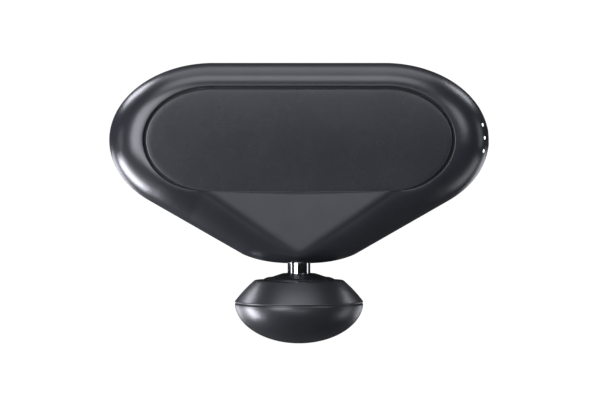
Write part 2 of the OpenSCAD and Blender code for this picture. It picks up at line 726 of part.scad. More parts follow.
// Crank: the pin stands above the motor's axis at rest, with the counterweight opposite
module crank_disc() color("#8a8d92")
    difference() {
        union() {
            rod_y(0, motor_z, disc_y0, disc_y1, crank_r + pin_r + 1.2);
            intersection() {
                rod_y(0, motor_z, disc_y0, disc_y1, weight_r);
                box(-weight_r, weight_r, 0, disc_y1, motor_z - weight_r, motor_z - 2);
            }
        }
        rod_y(0, motor_z, disc_y0 - 1, disc_y1 + 1, motor_shaft_d / 2);
        rod_y(0, pin_z, disc_y0 - 1, disc_y1 + 1, pin_r);
    }
module crank_pin() color("#cfd1d4") {
    rod_y(0, pin_z, -half_yoke - 0.2, disc_y1, pin_r);
    rod_y(0, pin_z, half_yoke + 0.15, disc_y0, pin_r + 0.8);
    rod_y(0, pin_z, -half_yoke - 0.9, -half_yoke - 0.15, pin_r + 1);
}
module crank_roller() color("#c3c5c8")
    difference() {
        rod_y(0, pin_z, -half_yoke, half_yoke, roller_r);
        rod_y(0, pin_z, -half_yoke - 1, half_yoke + 1, pin_r + run_gap);
        for (y = [-half_yoke - 1, half_yoke - 0.4])
            difference() {
                rod_y(0, pin_z, y, y + 1.4, roller_r - 1.2);
                rod_y(0, pin_z, y - 1, y + 2, pin_r + 1.2);
            }
    }

// Yoke and output shaft
module yoke() color("#9b9ea3")
    difference() {
        union() {
            box(-yoke_half_w, yoke_half_w, -half_yoke, half_yoke,
                yoke_bottom, pin_z + slot_half_h + yoke_bar);
            box(-shaft_r, shaft_r, -half_yoke, half_yoke, clamp_z1 - 1, yoke_bottom + 1);
            rod_z(0, 0, clamp_z0, clamp_z1, clamp_r);
        }
        box(-slot_half_l, slot_half_l, -half_yoke - 1, half_yoke + 1,
            pin_z - slot_half_h, pin_z + slot_half_h);
        rod_z(0, 0, clamp_z0 - 1, clamp_z1 - 1.5, shaft_r);
        rod_x(0, clamp_z0 + clamp_l / 2, -clamp_r - 1, clamp_r + 1, 1.25);
    }
module yoke_pin() color("#cfd1d4")
    rod_x(0, clamp_z0 + clamp_l / 2, -clamp_r + 0.3, clamp_r - 0.3, 1.25);
shaft_tip = 1;
module output_shaft() color("#d6d8db")
    difference() {
        union() {
            rod_z(0, 0, shaft_z0 + shaft_tip, clamp_z1 - 1.5, shaft_r);
            translate([0, 0, shaft_z0])
                cylinder(h = shaft_tip, r1 = shaft_r - shaft_tip, r2 = shaft_r);
        }
        rod_x(0, clamp_z0 + clamp_l / 2, -clamp_r, clamp_r, 1.25);
    }
module shaft_bush() color("#c08a4a")
    difference() {
        rod_z(0, 0, bush_z0, bush_z1, bush_r);
        rod_z(0, 0, bush_z0 - 1, bush_z1 + 1, shaft_r + run_gap);
    }

// Head
module head_collar() color("#2b2d30")
    rotate_extrude()
        polygon([[socket_r + small_gap, collar_z1], [collar_r, collar_z1],
                 [collar_base_r - 0.5, collar_z0 + 0.5], [collar_base_r, collar_z0 + 0.5],
                 [collar_base_r, collar_z0 - collar_sunk], [socket_r + small_gap, collar_z0 - collar_sunk]]);
ring_z = collar_z0 - collar_sunk - 5;
ring_thick = 1.8;
module head_core() color("#3c3f44")
    difference() {
        union() {
            rod_z(0, 0, core_z0, collar_z0 - collar_sunk, core_r);
            rod_z(0, 0, collar_z0 - collar_sunk - 2, collar_z0 - collar_sunk, core_flange_r);
            rod_z(0, 0, core_z0, core_z0 + 2, core_flange_r - 2);
        }
        rod_z(0, 0, shaft_z0 - 0.3, collar_z1, socket_r);
        rod_z(0, 0, ring_z - ring_thick / 2, ring_z + ring_thick / 2, socket_r + ring_thick);
    }
module head_grip_ring() color("#151617")
    translate([0, 0, ring_z])
        rotate_extrude()
            translate([socket_r + ring_thick / 2, 0])
                circle(r = ring_thick / 2, $fn = 24);
dome_steps = 14;
module head_ball() color("#3b3e45")
    difference() {
        rotate_extrude($fn = 72)
            polygon(concat([[0, collar_z0], [head_top_r, collar_z0], [head_r, head_wide_z]],
                           [for (i = [1:dome_steps]) let (t = 90 * i / dome_steps)
                               [head_r * cos(t), head_wide_z - head_dome_h * sin(t)]]));
        rod_z(0, 0, collar_z0 - collar_sunk, collar_z0 + 1, collar_base_r);
        rod_z(0, 0, core_z0, collar_z0, core_r);
        rod_z(0, 0, collar_z0 - collar_sunk - 2, collar_z0, core_flange_r);
        rod_z(0, 0, core_z0, core_z0 + 2, core_flange_r - 2);
    }

front_housing();
rear_housing();
front_cover();
rear_cover();
seam_gasket();
housing_screws();
nose_seal();
button();
button_switch();
control_board();
led_lenses();
led_chips();
main_board();
board_chips();
board_screws();
charge_port();
charge_board();
battery_cell_left_outer();
battery_cell_left_inner();
battery_cell_right();
battery_holder_left();
battery_holder_right();
battery_tabs();
wiring();
drive_frame();
frame_grommets();
frame_screws();
motor_base();
motor_screws();
motor_bearing_front();
motor_bearing_rear();
motor_stator();
motor_windings();
rotor_bell();
rotor_magnets();
motor_shaft();
crank_disc();
crank_pin();
crank_roller();
yoke();
yoke_pin();
output_shaft();
shaft_bush();
head_collar();
head_core();
head_grip_ring();
head_ball();
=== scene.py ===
# %% [markdown]
# # A palm-size massage gun
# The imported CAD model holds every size, place and joint. This script gives it its looks: the
# pieces that a hand or an eye meets are built again as smooth surfaces, and every piece gets a
# finish worked out from noise and patterns. Everything is in metres, in the model's own frame.

# %% Load the frame
import json
import math

import bmesh
import bpy
import numpy as np
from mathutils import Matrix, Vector

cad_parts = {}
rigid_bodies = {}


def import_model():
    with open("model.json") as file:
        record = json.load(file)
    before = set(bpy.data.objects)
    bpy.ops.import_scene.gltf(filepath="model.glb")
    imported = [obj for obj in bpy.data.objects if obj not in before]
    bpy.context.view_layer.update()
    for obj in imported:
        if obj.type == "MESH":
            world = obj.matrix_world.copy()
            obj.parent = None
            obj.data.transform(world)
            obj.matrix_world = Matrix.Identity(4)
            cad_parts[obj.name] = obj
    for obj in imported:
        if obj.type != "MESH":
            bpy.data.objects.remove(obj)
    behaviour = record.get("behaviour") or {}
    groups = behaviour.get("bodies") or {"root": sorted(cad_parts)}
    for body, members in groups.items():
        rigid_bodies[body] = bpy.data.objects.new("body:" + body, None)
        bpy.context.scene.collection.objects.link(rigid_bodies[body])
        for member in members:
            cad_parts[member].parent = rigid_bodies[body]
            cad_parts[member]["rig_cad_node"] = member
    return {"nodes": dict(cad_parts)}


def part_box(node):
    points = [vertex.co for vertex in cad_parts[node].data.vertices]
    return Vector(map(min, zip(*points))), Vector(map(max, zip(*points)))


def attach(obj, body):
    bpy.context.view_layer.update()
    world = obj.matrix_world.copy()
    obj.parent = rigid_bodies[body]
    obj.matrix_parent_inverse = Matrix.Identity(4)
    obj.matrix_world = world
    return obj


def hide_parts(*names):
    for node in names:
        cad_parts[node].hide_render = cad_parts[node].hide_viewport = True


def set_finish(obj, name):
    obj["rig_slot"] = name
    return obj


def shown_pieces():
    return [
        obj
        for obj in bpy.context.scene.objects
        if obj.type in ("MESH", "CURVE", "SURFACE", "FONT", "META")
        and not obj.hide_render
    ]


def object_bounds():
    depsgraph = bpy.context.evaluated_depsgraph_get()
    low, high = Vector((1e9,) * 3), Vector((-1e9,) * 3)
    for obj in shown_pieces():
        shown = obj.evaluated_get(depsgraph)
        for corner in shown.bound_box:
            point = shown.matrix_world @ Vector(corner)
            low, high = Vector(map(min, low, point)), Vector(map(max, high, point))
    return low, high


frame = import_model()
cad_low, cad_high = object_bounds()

MM = 0.001
print("CAD box in mm:", [round(v / MM, 2) for v in (*cad_low, *cad_high)])

# %% [markdown]
# ## From arrays to a mesh
# A surface here is a grid of points worked out at once with numpy. A grid could be turned into
# a mesh one face at a time with bmesh, but its faces follow a rule, so their corner numbers are
# an array too. A closed surface must face outwards: the sign of the volume that its triangles
# enclose tells whether it does, and a surface that doesn't is turned round.


# %% Grids, poles and outward faces
def grid_faces(rows, cols, closed_rows=False):
    """Corners of each cell of rows of points, each row a closed ring of cols points, where point
    (r, c) has the number r * cols + c."""
    r, c = np.meshgrid(np.arange(rows if closed_rows else rows - 1), np.arange(cols), indexing="ij")
    r_next, c_next = (r + 1) % rows, (c + 1) % cols
    cells = [r * cols + c, r * cols + c_next, r_next * cols + c_next, r_next * cols + c]
    return np.stack(cells, -1).reshape(-1, 4)


def fan_faces(start, count, centre):
    """Triangles that close a ring of count points with a centre point."""
    k = np.arange(count)
    return np.stack([start + k, start + (k + 1) % count, np.full(count, centre)], -1)


def outward(points, faces):
    """The faces, turned round if the volume inside, the sum of a . (b x c) / 6, is negative."""
    volume = 0.0
    for group in faces:
        for k in range(1, group.shape[1] - 1):
            a, b, c = points[group[:, 0]], points[group[:, k]], points[group[:, k + 1]]
            volume += np.einsum("ij,ij->", a, np.cross(b, c)) / 6
    return faces if volume > 0 else [group[:, ::-1] for group in faces]


def lofted(rings, centres=None):
    """A closed solid from rings of points: walls between the rings, and a fan that closes each
    end. The fans meet at the two centres, or else in the middle of the first and last ring."""
    rings = np.asarray(rings, float)
    count, total = rings.shape[1], rings.shape[0] * rings.shape[1]
    if centres is None:
        centres = [rings[0].mean(0), rings[-1].mean(0)]
    points = np.vstack([rings.reshape(-1, 3), centres])
    faces = [grid_faces(len(rings), count), fan_faces(0, count, total)[:, ::-1],
             fan_faces(total - count, count, total + 1)]
    return points, outward(points, faces)


def smoothstep(x):
    """0 below 0, 1 above 1, and 3x^2 - 2x^3 between."""
    x = np.clip(x, 0, 1)
    return x * x * (3 - 2 * x)


# %% [markdown]
# ## One object for each piece
# Every piece rides on the CAD body that it moves with, hides the CAD nodes that it stands for,
# and names the record's finish. Doing this in one function keeps a piece from being left behind.


# %% Make a piece
SHARP_ANGLE = math.radians(32)


def mesh_of(name, parts, attributes=None):
    """A mesh from (points, faces) parts, with doubled points merged, so that poles are closed."""
    points, polygons, start = [], [], 0
    for part_points, part_faces in parts:
        points.append(part_points)
        polygons += [row for group in part_faces for row in (group + start).tolist()]
        start += len(part_points)
    mesh = bpy.data.meshes.new(name)
    mesh.from_pydata(np.vstack(points).tolist(), [], polygons)
    for key, values in (attributes or {}).items():
        spread = np.zeros(start, np.float32)
        spread[:len(values)] = values
        mesh.attributes.new(key, "FLOAT", "POINT").data.foreach_set("value", spread)
    work = bmesh.new()
    work.from_mesh(mesh)
    bmesh.ops.remove_doubles(work, verts=work.verts, dist=1e-6)
    bmesh.ops.dissolve_degenerate(work, edges=work.edges, dist=1e-7)
    work.to_mesh(mesh)
    work.free()
    return mesh


def soften(mesh):
    """Smooth shading, with an edge kept sharp where its faces meet at more than SHARP_ANGLE."""
    mesh.shade_smooth()
    mesh.set_sharp_from_angle(angle=SHARP_ANGLE)


def add_piece(name, mesh, body, slot, stands_for):
    """Puts the mesh into the scene on its body, as the piece that stands for the CAD nodes."""
    soften(mesh)
    shape = bpy.data.objects.new(name, mesh)
    bpy.context.scene.collection.objects.link(shape)
    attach(shape, body)
    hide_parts(*stands_for)
    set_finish(shape, slot)
    print(f"{name}: {len(mesh.polygons)} faces on {body}, for {', '.join(stands_for)}")


# %% [markdown]
# ## The sizes that the surfaces share
# A box round a CAD node gives most of them. What a box can't tell, such as how long the ellipse
# of a lobe is, is a named value that repeats the CAD model's own.


# %% Sizes from the frame
def corners(node):
    """Lowest and highest corner of a CAD node as arrays."""
    low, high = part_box(node)
    return np.array(low), np.array(high)


housing_high = corners("front_housing")[1]
cover_low, cover_high = corners("front_cover")
half_w, lobe_h = housing_high[0], housing_high[2]
half_d = -cover_low[1]
PANEL_IN = 1.6 * MM       # how much shorter the visible panel is at each end
panel_w, panel_h = cover_high[0] - PANEL_IN, cover_high[2]
LOBE_L = 45.6 * MM        # half-length of the ellipse that rounds a lobe
PANEL_L = 28.4 * MM       # half-length of the ellipse that rounds a cover's end
NOSE_DROP = 54.1 * MM     # from the lobes' centres down to the tip of the nose
NOSE_HALF = 24.4 * MM     # half-width of the nose at its corners
NOSE_RISE = 3.9 * MM      # rise from the tip to the corners
NOSE_POWER = 2.7          # how late the nose's lower edge curves up
NOSE_HALF_D = 15 * MM     # half-depth at the tip of the nose
RIM_HALF = 6.9 * MM       # half-depth of the straight rim
GROOVE_W = 1.1 * MM       # groove round a cover
COVER_T = 1.4 * MM
WALL = 2.4 * MM
FLOOR_LIFT = 3.6 * MM     # cover and floor together
lobe_x = half_w - LOBE_L
panel_x = panel_w - PANEL_L
fold_slope = (half_d - NOSE_HALF_D) / (NOSE_DROP - panel_h)


def flat_y(z):
    """Half-depth of the body's flats: level down to the fold, then sloping to the nose."""
    return half_d + np.minimum(0, z + panel_h) * fold_slope


def rim_y(z):
    """Half-depth of the straight rim, in the same proportion to the flats all the way round."""
    return RIM_HALF * flat_y(z) / half_d


print(f"body {2 * half_w / MM:.1f} wide, {2 * half_d / MM:.1f} deep; fold at z {-panel_h / MM:.1f}")

# %% [markdown]
# ## The outline of the body
# The rim is a straight top, a lobe rounded by an ellipse, a straight side tangent to it and a
# nearly flat nose. One half is worked out as a list of stops and the other is its mirror image.
# Each stop also holds three other points: where the rounded band ends, where the seat of the
# cover begins, and which way is inwards. The rings of the shell are then mixes of these.

# %% Stops on the right half of the outline
SIDE_FACE_ANGLE = math.radians(-46)   # on the cover's ellipse, opposite the end of the lobe
GROOVE_END = 0.12 * MM                # what is left of the groove where it runs into the fold
FACET_SLOPE = 0.716                   # fall of the facet's long edges, down for each across
FACET_CORNER_X = 19.1 * MM            # on a facet edge, opposite the corner of the nose
FACET_TIP_Z = -50.3 * MM
FACET_TIP_ROUND = 1.6 * MM
FADE_FROM = math.radians(52)          # how far below level the groove begins to fade
CREST = 0.4 * MM                      # flat strip between the band and the groove
TOP_N, LOBE_N, SIDE_N, LOWER_N, NOSE_N = 24, 110, 22, 44, 40

corner = np.array([NOSE_HALF, NOSE_RISE - NOSE_DROP])
scaled = (corner - [lobe_x, 0]) / [LOBE_L, lobe_h]
side_t = math.atan2(scaled[1], scaled[0]) + math.acos(1 / np.linalg.norm(scaled))
side_end = np.array([lobe_x + LOBE_L * math.cos(side_t), lobe_h * math.sin(side_t)])
side_run = corner - side_end
fold_angle = -math.asin(panel_h / (panel_h + GROOVE_END))


def ellipse(centre_x, length, height, angle):
    """Points (x + L cos a, H sin a)."""
    return np.stack([centre_x + length * np.cos(angle), height * np.sin(angle)], -1)


def seat_edge(angle):
    """Outer edge of the groove: the cover's ellipse, grown by a groove that fades out at the fold."""
    fade = smoothstep((-angle - FADE_FROM) / (-fold_angle - FADE_FROM))
    groove = GROOVE_W + (GROOVE_END - GROOVE_W) * fade
    return ellipse(panel_x, PANEL_L + groove, panel_h + groove, angle)


def facet_edge(x):
    """Lower edge of the V-shaped facet: a straight fall from the fold, levelled out at the tip
    by the smooth maximum (a + b + sqrt((a - b)^2 + k^2)) / 2."""
    fall = -panel_h - FACET_SLOPE * (fold_point[0] - x)
    return (fall + FACET_TIP_Z + np.sqrt((fall - FACET_TIP_Z) ** 2 + FACET_TIP_ROUND ** 2)) / 2


def share(count, last=False):
    """Even steps from 0 to 1 as a column; the 1 is left to the next stretch unless last."""
    return np.linspace(0, 1, count + 1)[:count + last, None]


fold_point = seat_edge(np.array(fold_angle))
foot = np.dot(fold_point - side_end, side_run) / np.dot(side_run, side_run)
lobe_t = math.pi / 2 + (side_t - math.pi / 2) * share(LOBE_N)[:, 0]
lobe_a = math.pi / 2 + (SIDE_FACE_ANGLE - math.pi / 2) * share(LOBE_N)[:, 0]
side_a = SIDE_FACE_ANGLE + (fold_angle - SIDE_FACE_ANGLE) * share(SIDE_N)[:, 0]
nose_f = 1 - share(NOSE_N, last=True)
lower_x = fold_point[0] + (FACET_CORNER_X - fold_point[0]) * share(LOWER_N)
nose_x = FACET_CORNER_X * nose_f

rim = np.vstack([
    np.hstack([lobe_x * share(TOP_N), np.full((TOP_N, 1), lobe_h)]),
    ellipse(lobe_x, LOBE_L, lobe_h, lobe_t),
    side_end + side_run * foot * share(SIDE_N),
    side_end + side_run * (foot + (1 - foot) * share(LOWER_N)),
    np.hstack([NOSE_HALF * nose_f, NOSE_RISE * nose_f ** NOSE_POWER - NOSE_DROP])])
seat = np.vstack([
    np.hstack([panel_x * share(TOP_N), np.full((TOP_N, 1), panel_h + GROOVE_W)]),
    seat_edge(lobe_a), seat_edge(side_a),
    np.hstack([lower_x, np.full_like(lower_x, -panel_h)]),
    np.hstack([nose_x, np.full_like(nose_x, -panel_h)])])
upper_n = TOP_N + LOBE_N + SIDE_N
facet = np.vstack([lower_x, nose_x])
crest = np.vstack([seat[:upper_n], np.hstack([facet, facet_edge(facet)])])
crest += CREST * (rim - crest) / np.linalg.norm(rim - crest, axis=1, keepdims=True)
print(f"{len(rim)} stops on half the outline; the facet starts at x {fold_point[0] / MM:.1f}")

# %% [markdown]
# ## How round the band is
# Over the top and the ends the band rolls right into the front. Below the fold it stays flatter
# and meets the facet at an angle, which is what makes the facet's edges show. An angle for each
# stop says how far round its quarter ellipse the band goes.

# %% Directions and roundness at each stop
ROLL_TOP, ROLL_SIDE, ROLL_TIP = (math.radians(a) for a in (86, 50, 70))
LOW_FROM, LOW_OVER = math.radians(5), math.radians(50)   # where the band begins to flatten
ROUND_FACET = 1.5 * MM     # softness of the facet's edges

side_mix = np.vstack([foot * share(SIDE_N), foot + (1 - foot) * share(LOWER_N)])
nose_lean = math.tan(math.atan2(-side_run[1], -side_run[0]) / 2)
side_into = (1 - side_mix) * [-math.cos(side_t), -math.sin(side_t)] + side_mix * [-nose_lean, 1]
into = np.vstack([
    np.tile([0.0, -1.0], (TOP_N, 1)), -np.stack([np.cos(lobe_t), np.sin(lobe_t)], -1), side_into,
    np.hstack([-nose_lean * nose_f, np.ones_like(nose_f)])])
lowness = np.concatenate([
    np.zeros(TOP_N), smoothstep((-lobe_t - LOW_FROM) / LOW_OVER),
    np.ones(SIDE_N + LOWER_N + NOSE_N + 1)])
tipness = np.concatenate([np.zeros(upper_n + LOWER_N), smoothstep(1 - nose_f[:, 0])])
roll = ROLL_TOP + (ROLL_SIDE - ROLL_TOP) * lowness + (ROLL_TIP - ROLL_SIDE) * tipness


def both_halves(values, flip=False):
    """Values of the right half, carried on round the left half; x changes its sign if flip."""
    left = values[-2:0:-1].copy()
    if flip:
        left[:, 0] *= -1
    return np.concatenate([values, left])


rim, seat, crest, into = (both_halves(v, flip=True) for v in (rim, seat, crest, into))
lowness, roll = both_halves(lowness), both_halves(roll)
seat_out = np.where((seat[:, 1] > -panel_h + 1e-6)[:, None], rim - seat, [0.0, -1.0])
seat_out /= np.linalg.norm(seat_out, axis=1, keepdims=True)
print(f"{len(rim)} stops all round; the band rolls {math.degrees(roll.min()):.0f} to "
      f"{math.degrees(roll.max()):.0f} degrees")

# %% [markdown]
# ## The housing halves
# A moulded half is a thin shell: a mating face with a slot for the gasket, the outer skin, a
# seat for the cover and an inner skin one wall further in. It could be a solid with a Boolean
# cut, but all of its walls follow the same outline, so the shell is one stack of rings that goes
# round from the mating face over the outside, into the seat and back along the inside.


# %% The rings of a shell
SEAM_CHAMFER = 0.22 * MM
SEAM_GAP = 0.02 * MM
BAND_RINGS, FACET_RINGS, INNER_RINGS, SLOT_RINGS = 30, 16, 9, 5
EDGE_R = 0.25 * MM          # rounded edge of the cover's seat
SEAT_DEPTH = 1.5 * MM
SEAT_LEDGE = 2.2 * MM
GROOVE_DEPTH = 2.5 * MM     # the groove goes deeper than the seat, so that it looks dark
GASKET_IN, GASKET_OUT, GASKET_DEPTH = 1.6 * MM, 0.8 * MM, 0.7 * MM


def ring(plan, depth):
    """Points at the (x, z) plan, depth in front of the seam."""
    return np.stack([plan[:, 0], -np.broadcast_to(depth, len(plan)), plan[:, 1]], -1)


def soft_min(a, b, k):
    """The smaller of two heights, rounded over k where they cross."""
    h = np.clip(0.5 + 0.5 * (b - a) / np.maximum(k, 1e-9), 0, 1)
    return b + (a - b) * h - k * h * (1 - h)


def skin_depth(plan, travel):
    """Depth of the outer skin. The band is y0 + (y1 - y0) sin s / sin S, where the way travelled
    from the rim to the crest is (1 - cos s) / (1 - cos S). Past the crest it climbs on over the
    flat or facet, which cuts it off."""
    swing = np.arccos(np.clip(1 - travel * (1 - np.cos(roll)), 0, 1))
    y0, y1 = rim_y(rim[:, 1]), flat_y(crest[:, 1])
    flat = flat_y(plan[:, 1])
    base = np.where(travel > 1, flat, y1)
    band = base + (y1 - y0) * (np.sin(swing) / np.sin(roll) - 1)
    return soft_min(band, flat, ROUND_FACET * lowness)


def skin_rings():
    """Rings from the seam's chamfer over the band and the flat to the edge of the seat."""
    rings = [ring(rim + into * SEAM_CHAMFER, SEAM_GAP)]
    side_top = rim_y(rim[:, 1])
    for f in np.linspace(0, 1, 5)[:-1]:
        rings.append(ring(rim, SEAM_CHAMFER + (side_top - SEAM_CHAMFER) * f))
    for f in np.linspace(0, 1, BAND_RINGS):
        travel = (1 - np.cos(f * roll)) / (1 - np.cos(roll))
        plan = rim + (crest - rim) * travel[:, None]
        rings.append(ring(plan, skin_depth(plan, travel)))
    width = np.linalg.norm(crest - rim, axis=1)
    edge = seat + seat_out * EDGE_R
    for f in np.linspace(0, 1, FACET_RINGS)[1:]:
        plan = crest + (edge - crest) * f
        rings.append(ring(plan, skin_depth(plan, 1 + np.linalg.norm(plan - crest, axis=1) / width)))
    lip_depth = -rings[-1][:, 1]
    for turn in np.radians([30, 60, 90]):
        plan = seat + seat_out * EDGE_R * (1 - math.sin(turn))
        rings.append(ring(plan, lip_depth - EDGE_R * (1 - math.cos(turn))))
    return rings


outer_rings = skin_rings()
skin_top = -min(r[:, 1].min() for r in outer_rings)
print(f"{len(outer_rings)} rings of outer skin, deepest {skin_top / MM:.2f} mm")

# %% [markdown]
# ## The inner skin
# The inner wall follows the CAD model's own curve, so that everything inside still fits: a
# quarter ellipse from the rim to points that lie a band's width further in.


# %% The seat, the inner skin and the mating face
BAND_TOP, BAND_END, BAND_NOSE, BAND_TIP = (v * MM for v in (11.6, 15.1, 8, 4))
FLAT_SHRINK = 0.97        # the inner flat, as a share of the inner line


def inner_line():
    """Points where the inner band ends: a width w = top + (end - top) cos^2 t on the lobe, a
    straight line along the side, and a width that narrows from the nose's corner to its tip."""
    lobe_w = BAND_TOP + (BAND_END - BAND_TOP) * np.cos(lobe_t) ** 2
    half = rim[:upper_n + LOWER_N + NOSE_N + 1]
    line = half + into[:len(half)] * BAND_TOP
    line[TOP_N:TOP_N + LOBE_N] += into[TOP_N:TOP_N + LOBE_N] * (lobe_w - BAND_TOP)[:, None]
    nose_w = BAND_TIP + (BAND_NOSE - BAND_TIP) * nose_f
    line[-NOSE_N - 1:] = half[-NOSE_N - 1:] + into[len(half) - NOSE_N - 1:len(half)] * nose_w
    first, last = line[TOP_N + LOBE_N - 1], line[-NOSE_N - 1]
    line[TOP_N + LOBE_N:-NOSE_N - 1] = first + (last - first) * side_mix
    return both_halves(line, flip=True)


def inside_rings():
    """Rings from the seat's floor, then back out along the inner skin to the mating face."""
    floor_depth = half_d - SEAT_DEPTH
    groove_in = seat - seat_out * GROOVE_W
    seat_floor = [ring(seat, half_d - GROOVE_DEPTH), ring(groove_in, half_d - GROOVE_DEPTH),
                  ring(groove_in, floor_depth), ring(seat - seat_out * SEAT_LEDGE, floor_depth)]
    line = inner_line()
    wall_line = rim + into * WALL
    y0, y1 = rim_y(rim[:, 1]), flat_y(line[:, 1]) - FLOOR_LIFT
    flat = np.stack([line[:, 0], np.maximum(line[:, 1], -panel_h)], -1) * FLAT_SHRINK
    skin = [ring(flat, half_d - FLOOR_LIFT)]
    for swing in np.linspace(math.pi / 2, 0, INNER_RINGS):
        plan = wall_line + (line - wall_line) * (1 - math.cos(swing))
        skin.append(ring(plan, y0 + (y1 - y0) * math.sin(swing)))
    slot = [(WALL, SEAM_GAP), (GASKET_IN, SEAM_GAP), (GASKET_IN, GASKET_DEPTH),
            (GASKET_OUT, GASKET_DEPTH), (GASKET_OUT, SEAM_GAP)]
    return seat_floor, skin + [ring(rim + into * inset, depth) for inset, depth in slot]


def shell_parts():
    """The whole shell as one closed surface: fans close the inner flat and the seat's floor."""
    seat_floor, inner = inside_rings()
    return lofted(inner + outer_rings + seat_floor,
                  [[0, -(half_d - FLOOR_LIFT), 0], [0, -(half_d - SEAT_DEPTH), 0]])


def edge_wear(ring_count):
    """How worn each point is: 1 on the edge of the seat and at the seam's chamfer, 0 elsewhere."""
    inner_n = 1 + INNER_RINGS + SLOT_RINGS
    row = np.arange(ring_count) - inner_n
    seat_row = len(outer_rings) - 2
    worn = np.exp(-((row - seat_row) / 1.6) ** 2) + 0.5 * np.exp(-((row - 1) / 0.9) ** 2)
    return np.repeat(worn, len(rim))


shell_points, shell_faces = shell_parts()
shell_worn = edge_wear((len(shell_points) - 2) // len(rim))
print(f"shell of {len(shell_points)} points")

# %% [markdown]
# ## Openings and bosses
# The shell needs holes for the seal, the button, the lights, the charging inlet and the screws.
# Bending the grid round each hole would spoil the smooth band, so these are cut with Blender's
# exact Boolean. The bosses inside are turned shapes round the screws' own axes.


# %% Turned shapes and bars
def turned(profile, segments=96, along="z", at=(0, 0, 0)):
    """A closed surface of revolution: for each (r, h) of the profile, which runs from pole to
    pole or back to its start, a circle of radius r at height h along the axis through at."""
    profile = np.asarray(profile, float)
    angle = np.linspace(0, 2 * math.pi, segments, endpoint=False)
    r, h = profile[:, :1], np.repeat(profile[:, 1:], segments, axis=1)
    u, v = r * np.cos(angle), r * np.sin(angle)
    order = {"x": (h, u, v), "y": (u, h, v), "z": (u, v, h)}[along]
    points = np.stack(order, -1).reshape(-1, 3) + np.asarray(at, float)
    from_pole_to_pole = profile[0, 0] < 1e-9 and profile[-1, 0] < 1e-9
    return points, outward(points, [grid_faces(len(profile), segments, not from_pole_to_pole)])


def rod(radius, start, end, along="y", at=(0, 0, 0), segments=48):
    """A plain round bar or cutter between two heights on its axis."""
    return turned([(0, start), (radius, start), (radius, end), (0, end)], segments, along, at)


def pill(width, length, count=64):
    """Outline in (y, z) with half-circles for ends: width across Y, length along Z."""
    angle = np.linspace(0, 2 * math.pi, count, endpoint=False) + math.pi / count
    straight = (length - width) / 2
    return np.stack([width / 2 * np.cos(angle),
                     width / 2 * np.sin(angle) + straight * np.sign(np.sin(angle))], -1)


def bar_x(sections, z, count=64):
    """A closed bar across X: for each (x, width, length), a pill-shaped ring centred on height z."""
    rings = []
    for x, width, length in sections:
        plan = pill(width, length, count)
        rings.append(np.stack([np.full(count, x), plan[:, 0], plan[:, 1] + z], -1))
    return lofted(rings)


def fastener_sites(node, rows):
    """Centres (x, z) of fasteners that lie in rows of height, one on each side of the middle."""
    co = np.empty(len(frame["nodes"][node].data.vertices) * 3, np.float32)
    frame["nodes"][node].data.vertices.foreach_get("co", co)
    co = co.reshape(-1, 3)
    sites = []
    for low, high in rows:
        for side in (-1, 1):
            near = co[(co[:, 2] > low) & (co[:, 2] < high) & (co[:, 0] * side > 0)]
            sites.append(((near.min(0) + near.max(0)) / 2)[[0, 2]])
    return np.array(sites)


ROW = 8 * MM
boss_sites = fastener_sites("housing_screws", [(ROW, 1), (-1, -ROW), (-ROW, ROW)])
print("bosses at", np.round(boss_sites / MM, 1).tolist())

# %% Cutters
CUT_OVER = 2 * MM
FIT_GAP = 0.25 * MM
SCREW_HEAD_R, SCREW_R, SCREW_SEAT_Y = 2.2 * MM, 1.25 * MM, 8 * MM
BUTTON_L, BUTTON_W = 15 * MM, 8.8 * MM
LIGHT_R, LIGHT_PITCH, LIGHT_TILT = 0.75 * MM, 5.6 * MM, math.radians(28.4)
LIGHT_SWING = math.radians(30)   # how far round the band's quarter ellipse the lights lie
LIGHT_FIT, LIGHT_HOLE_L = 0.05 * MM, 6 * MM
PORT_CLEAR = 0.1 * MM
seal_low, seal_high = corners("nose_seal")
shaft_low, shaft_high = corners("output_shaft")
button_low, button_high = corners("button")
port_low, port_high = corners("charge_port")
button_z = (button_low[2] + button_high[2]) / 2
seal_r = shaft_high[0] + 3 * MM
SEAL_FLANGE_T = 1.3 * MM


def tilted(parts, site, tilt):
    """Points that lie along X, swung forwards about Z by tilt and carried to the site."""
    points, faces = parts
    c, s = math.cos(tilt), math.sin(tilt)
    turn = np.array([[c, s, 0], [-s, c, 0], [0, 0, 1]])
    return points @ turn.T + site, faces


def light_sites():
    """The three points on the band where the lights look out, one above the other."""
    z = button_z + LIGHT_PITCH * np.array([-1, 0, 1])
    x = lobe_x + LOBE_L * np.sqrt(1 - (z / lobe_h) ** 2)
    x_in = panel_x + PANEL_L * np.sqrt(1 - (z / panel_h) ** 2)
    depth = RIM_HALF + (half_d - RIM_HALF) * math.sin(LIGHT_SWING)
    across = x + (x_in - x) * (1 - math.cos(LIGHT_SWING))
    return [np.array([a, -depth, h]) for a, h in zip(across, z)]


def openings(front):
    """Cutters for one half: seal, button and inlet, then lights in front or screws behind."""
    port_w, port_l = (port_high - port_low)[[1, 2]] + 2 * PORT_CLEAR
    hole = BUTTON_W + 2 * FIT_GAP, BUTTON_L + 2 * FIT_GAP
    cutters = [
        rod(seal_r, -NOSE_DROP - CUT_OVER, seal_high[2], "z"),
        bar_x([(button_low[0], *hole), (half_w + CUT_OVER, *hole)], button_z),
        bar_x([(-half_w - CUT_OVER, port_w, port_l), (port_high[0], port_w, port_l)], 0)]
    if front:
        for site in light_sites():
            hole = rod(LIGHT_R + LIGHT_FIT, -LIGHT_HOLE_L, CUT_OVER, "x")
            cutters.append(tilted(hole, site, LIGHT_TILT))
    else:
        for x, z in boss_sites:
            cutters.append(rod(SCREW_HEAD_R, SCREW_SEAT_Y, half_d, "y", (x, 0, z)))
    return cutters


print(f"{len(openings(True))} cutters in front and {len(openings(False))} behind")


